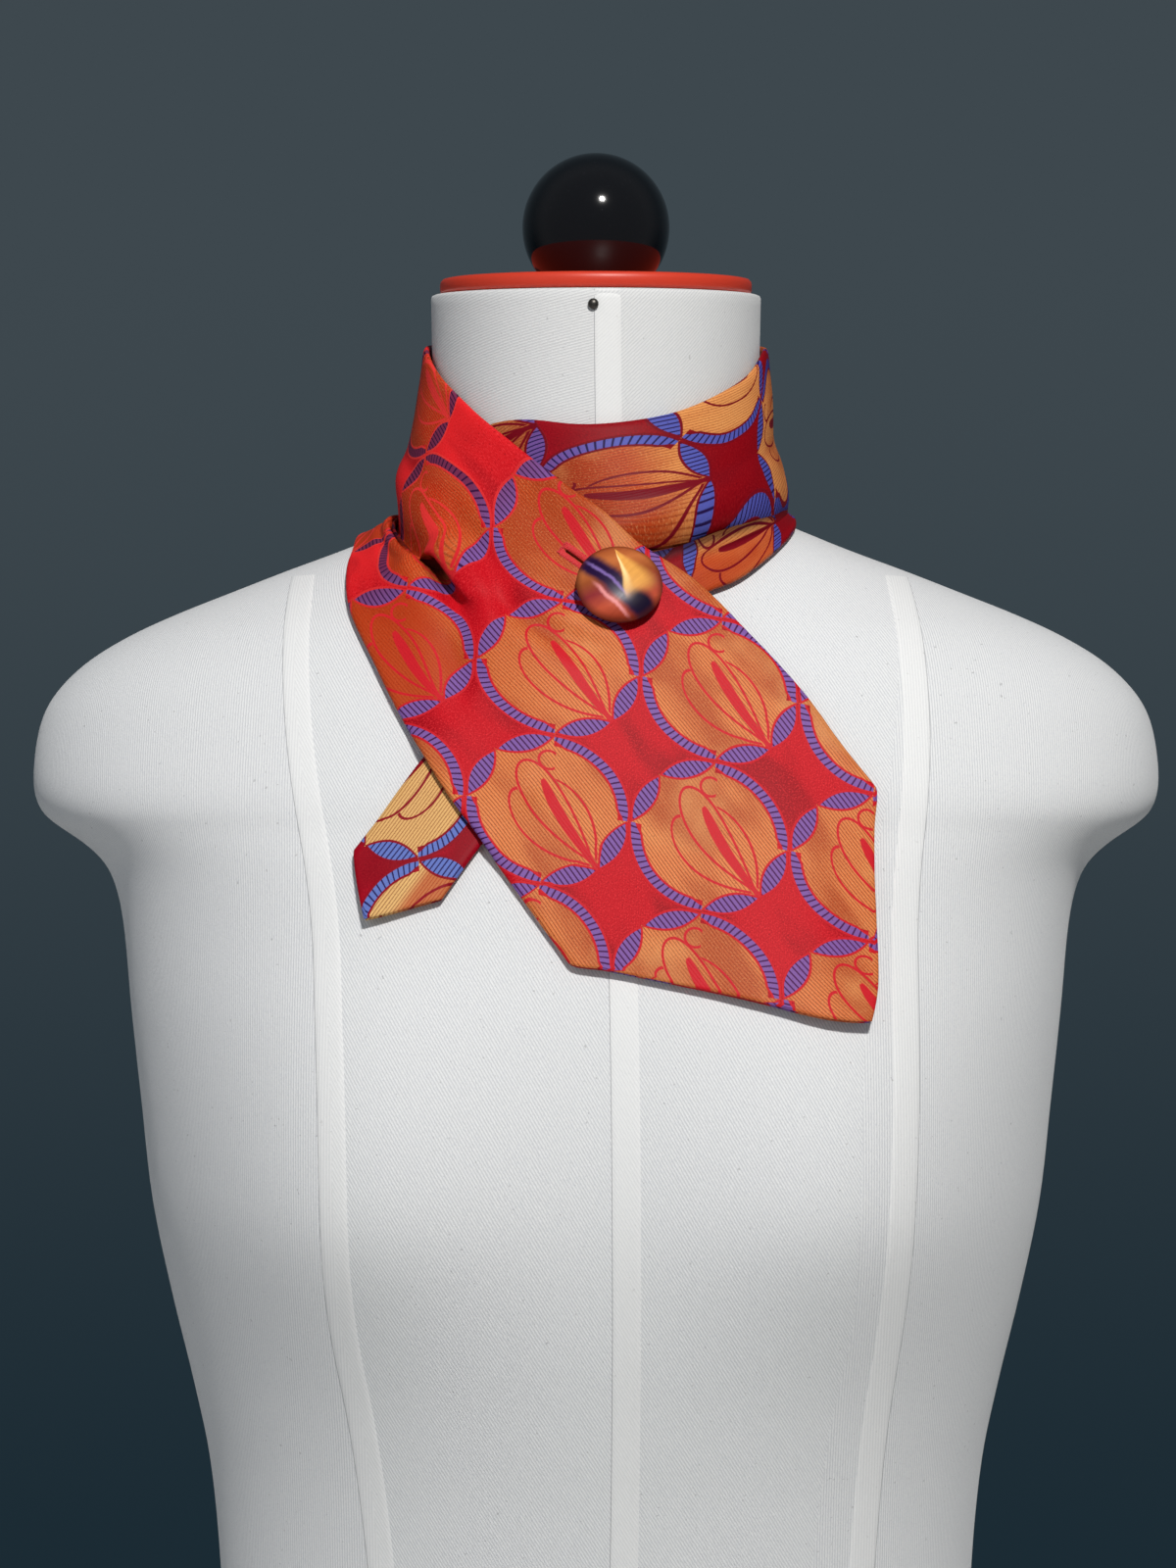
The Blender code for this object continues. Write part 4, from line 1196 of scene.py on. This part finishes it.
def tape_mesh(rows, sign, outer):
    """A thin flush tape beside a seam, laid on the cover from the front or the back."""
    heights = np.arange(rows[-1][0], rows[0][0], 3.0)
    sides = np.interp(heights, [r[0] for r in rows[::-1]], [r[1] for r in rows[::-1]])
    kernel = np.ones(13) / 13
    padded = np.concatenate([np.full(6, sides[0]), sides, np.full(6, sides[-1])])
    sides = np.convolve(padded, kernel, "valid")
    half = [(0.2, 0.18), (0.6, 0.16), (0.9, 0.10), (1, -0.08)]
    across = [(-share, lift) for share, lift in half[::-1]] + half
    points, flat, strips = [], [], []
    for up, x in zip(heights, sides):
        row, flat_row, strip_row = [], [], []
        for share, lift in across:
            start = Vector((x + share * TAPE_WIDTH / 2, -300 * sign, up))
            hit, normal, _, _ = cover_tree.ray_cast(start, Vector((0, sign, 0)), 600)
            row.append(np.array(hit + normal * lift))
            flat_row.append(((x + share * TAPE_WIDTH / 2) * MM, up * MM))
            strip_row.append((share * outer, up * MM))
        points.append(row)
        flat.append(flat_row)
        strips.append(strip_row)
    bm = laid_grid(np.array(points), np.array(flat), np.array(strips), "strip")
    bmesh.ops.recalc_face_normals(bm, faces=bm.faces)
    middle = bm.faces[:][len(bm.faces) // 2]
    if middle.normal.y * sign > 0:
        bmesh.ops.reverse_faces(bm, faces=bm.faces)
    return bm


tape_cloth = form_cover("tape", tape=True)
for group, sign in ((FRONT_TAPES, 1), (BACK_TAPES, -1)):
    for name, rows_of in group.items():
        outer = 1 if name.endswith("right") else -1
        finished(tape_mesh(rows_of, sign, outer), "tape_" + name, tape_cloth)

# Neck cap, ball and pin on the neck's tilted axis.
neck_axis = np.array([0, -NECK_TILT, 1]) / math.hypot(NECK_TILT, 1)
neck_middle = np.array([0, 0, NECK_TOP])


def cap_mesh():
    """A thin round plate on top of the neck, its rim rounded."""
    angles = np.linspace(-180, 180, 145)
    rim = form_point(angles, np.full_like(angles, len(FORM) - 1.0))
    out = rim - neck_middle
    length = np.linalg.norm(out, axis=1, keepdims=True)
    top = SEAM_GAP + CAP_THICKNESS
    rings = []
    for inset, up in ((1.6, 0), (0.5, 0.3), (0, 1.0), (0, top - SEAM_GAP - 1.8), (0.25, top - SEAM_GAP - 0.9),
                      (0.9, top - SEAM_GAP - 0.25), (2.0, top - SEAM_GAP), (20, top - SEAM_GAP + 0.1)):
        rings.append(neck_middle + out * (length - CAP_INSET - inset) / length + neck_axis * (SEAM_GAP + up))
    return close_round(laid_grid(np.array(rings), np.zeros((len(rings), len(angles), 2))))


cap = finished(cap_mesh(), "cap_plate", cap_paint())
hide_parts("neck_cap")
cut_at = BALL_CENTRE_UP - SEAM_GAP * 2 - CAP_THICKNESS
low = math.acos(-cut_at / BALL_RADIUS)
ball_line = [(0.0, -cut_at), (BALL_RADIUS * math.sin(low) - 0.3, -cut_at)]
ball_line += [(BALL_RADIUS * math.sin(a), BALL_RADIUS * math.cos(a)) for a in np.linspace(low, 0, 40)]
ball = finished(turned(ball_line, 80, neck_middle + neck_axis * BALL_CENTRE_UP, neck_axis),
                "ball", ball_paint())
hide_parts("ball_finial")
pin_foot = off_form(-1.0, 5.2, 0.3)
pin_way = off_form(-1.0, 5.2, 1.3) - pin_foot
pin = finished(turned([(0, 0), (1.4, 0), (1.68, 0.35), (1.62, 0.75), (1.25, 1.2), (0.7, 1.45), (0, 1.52)], 28,
                      pin_foot, pin_way), "pin_head", pin_paint())
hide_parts("neck_pin")


def soft_light(name, place, aim, size, power, colour=(1, 1, 1)):
    lamp = bpy.data.lights.new(name, "AREA")
    lamp.size, lamp.energy, lamp.color = size, power, colour
    stand = in_scene(name, lamp)
    stand.location = place
    stand.rotation_euler = (Vector(aim) - Vector(place)).to_track_quat("-Z", "Y").to_euler()
    return stand


soft_light("key", (0.30, -1.62, 1.80), (0, -0.1, 0.5), 0.16, 40, (1.0, 0.98, 0.95))
fill_light = soft_light("fill", (-1.6, -1.5, 1.1), (0, 0, 0.45), 1.6, 5, (0.88, 0.93, 1.0))
fill_light.visible_glossy = False
back_light = soft_light("back", (0, 2.0, 0.28), (0, 0.1, 0.45), 0.6, 14, (0.94, 0.96, 1.0))
back_light.visible_glossy = False
sky = Sky("studio")
way = sky.add("SeparateXYZ", None, Vector=sky.add("TexCoord").outputs["Generated"])
wall = sky.mix(sky.soft(Sum(sky, way.outputs[2]), -0.3, 0.2), dye(26, 42, 51), dye(62, 72, 78))
bpy.context.scene.world = sky.finish(
    Color=sky.mix(sky.soft(Sum(sky, way.outputs[1]), -0.1, 0.5), dye(107, 111, 115), wall))
bpy.context.scene.view_settings.view_transform = "Standard"

floor_bm = bmesh.new()
bmesh.ops.create_grid(floor_bm, x_segments=2, y_segments=2, size=0.8)
floor = meshed(floor_bm, "floor", 1)
floor_paint = Paint("floor")
floor.data.materials.append(floor_paint.finish(
    Base_Color=floor_paint.mix(floor_paint.noise(floor_paint.where(), 6), dye(206, 206, 204),
                               dye(212, 212, 210)),
    Roughness=0.85))
floor.location.z = -0.0005

lens = bpy.data.cameras.new("camera")
lens.sensor_fit, lens.sensor_height = "VERTICAL", 36.0
lens.lens = 3.1 * 950 / 1600 * 36
camera = in_scene("camera", lens)
camera.location = (-0.0026, -0.95, 0.4924)
camera.rotation_euler = (math.pi / 2, 0, 0)
bpy.context.scene.camera = camera
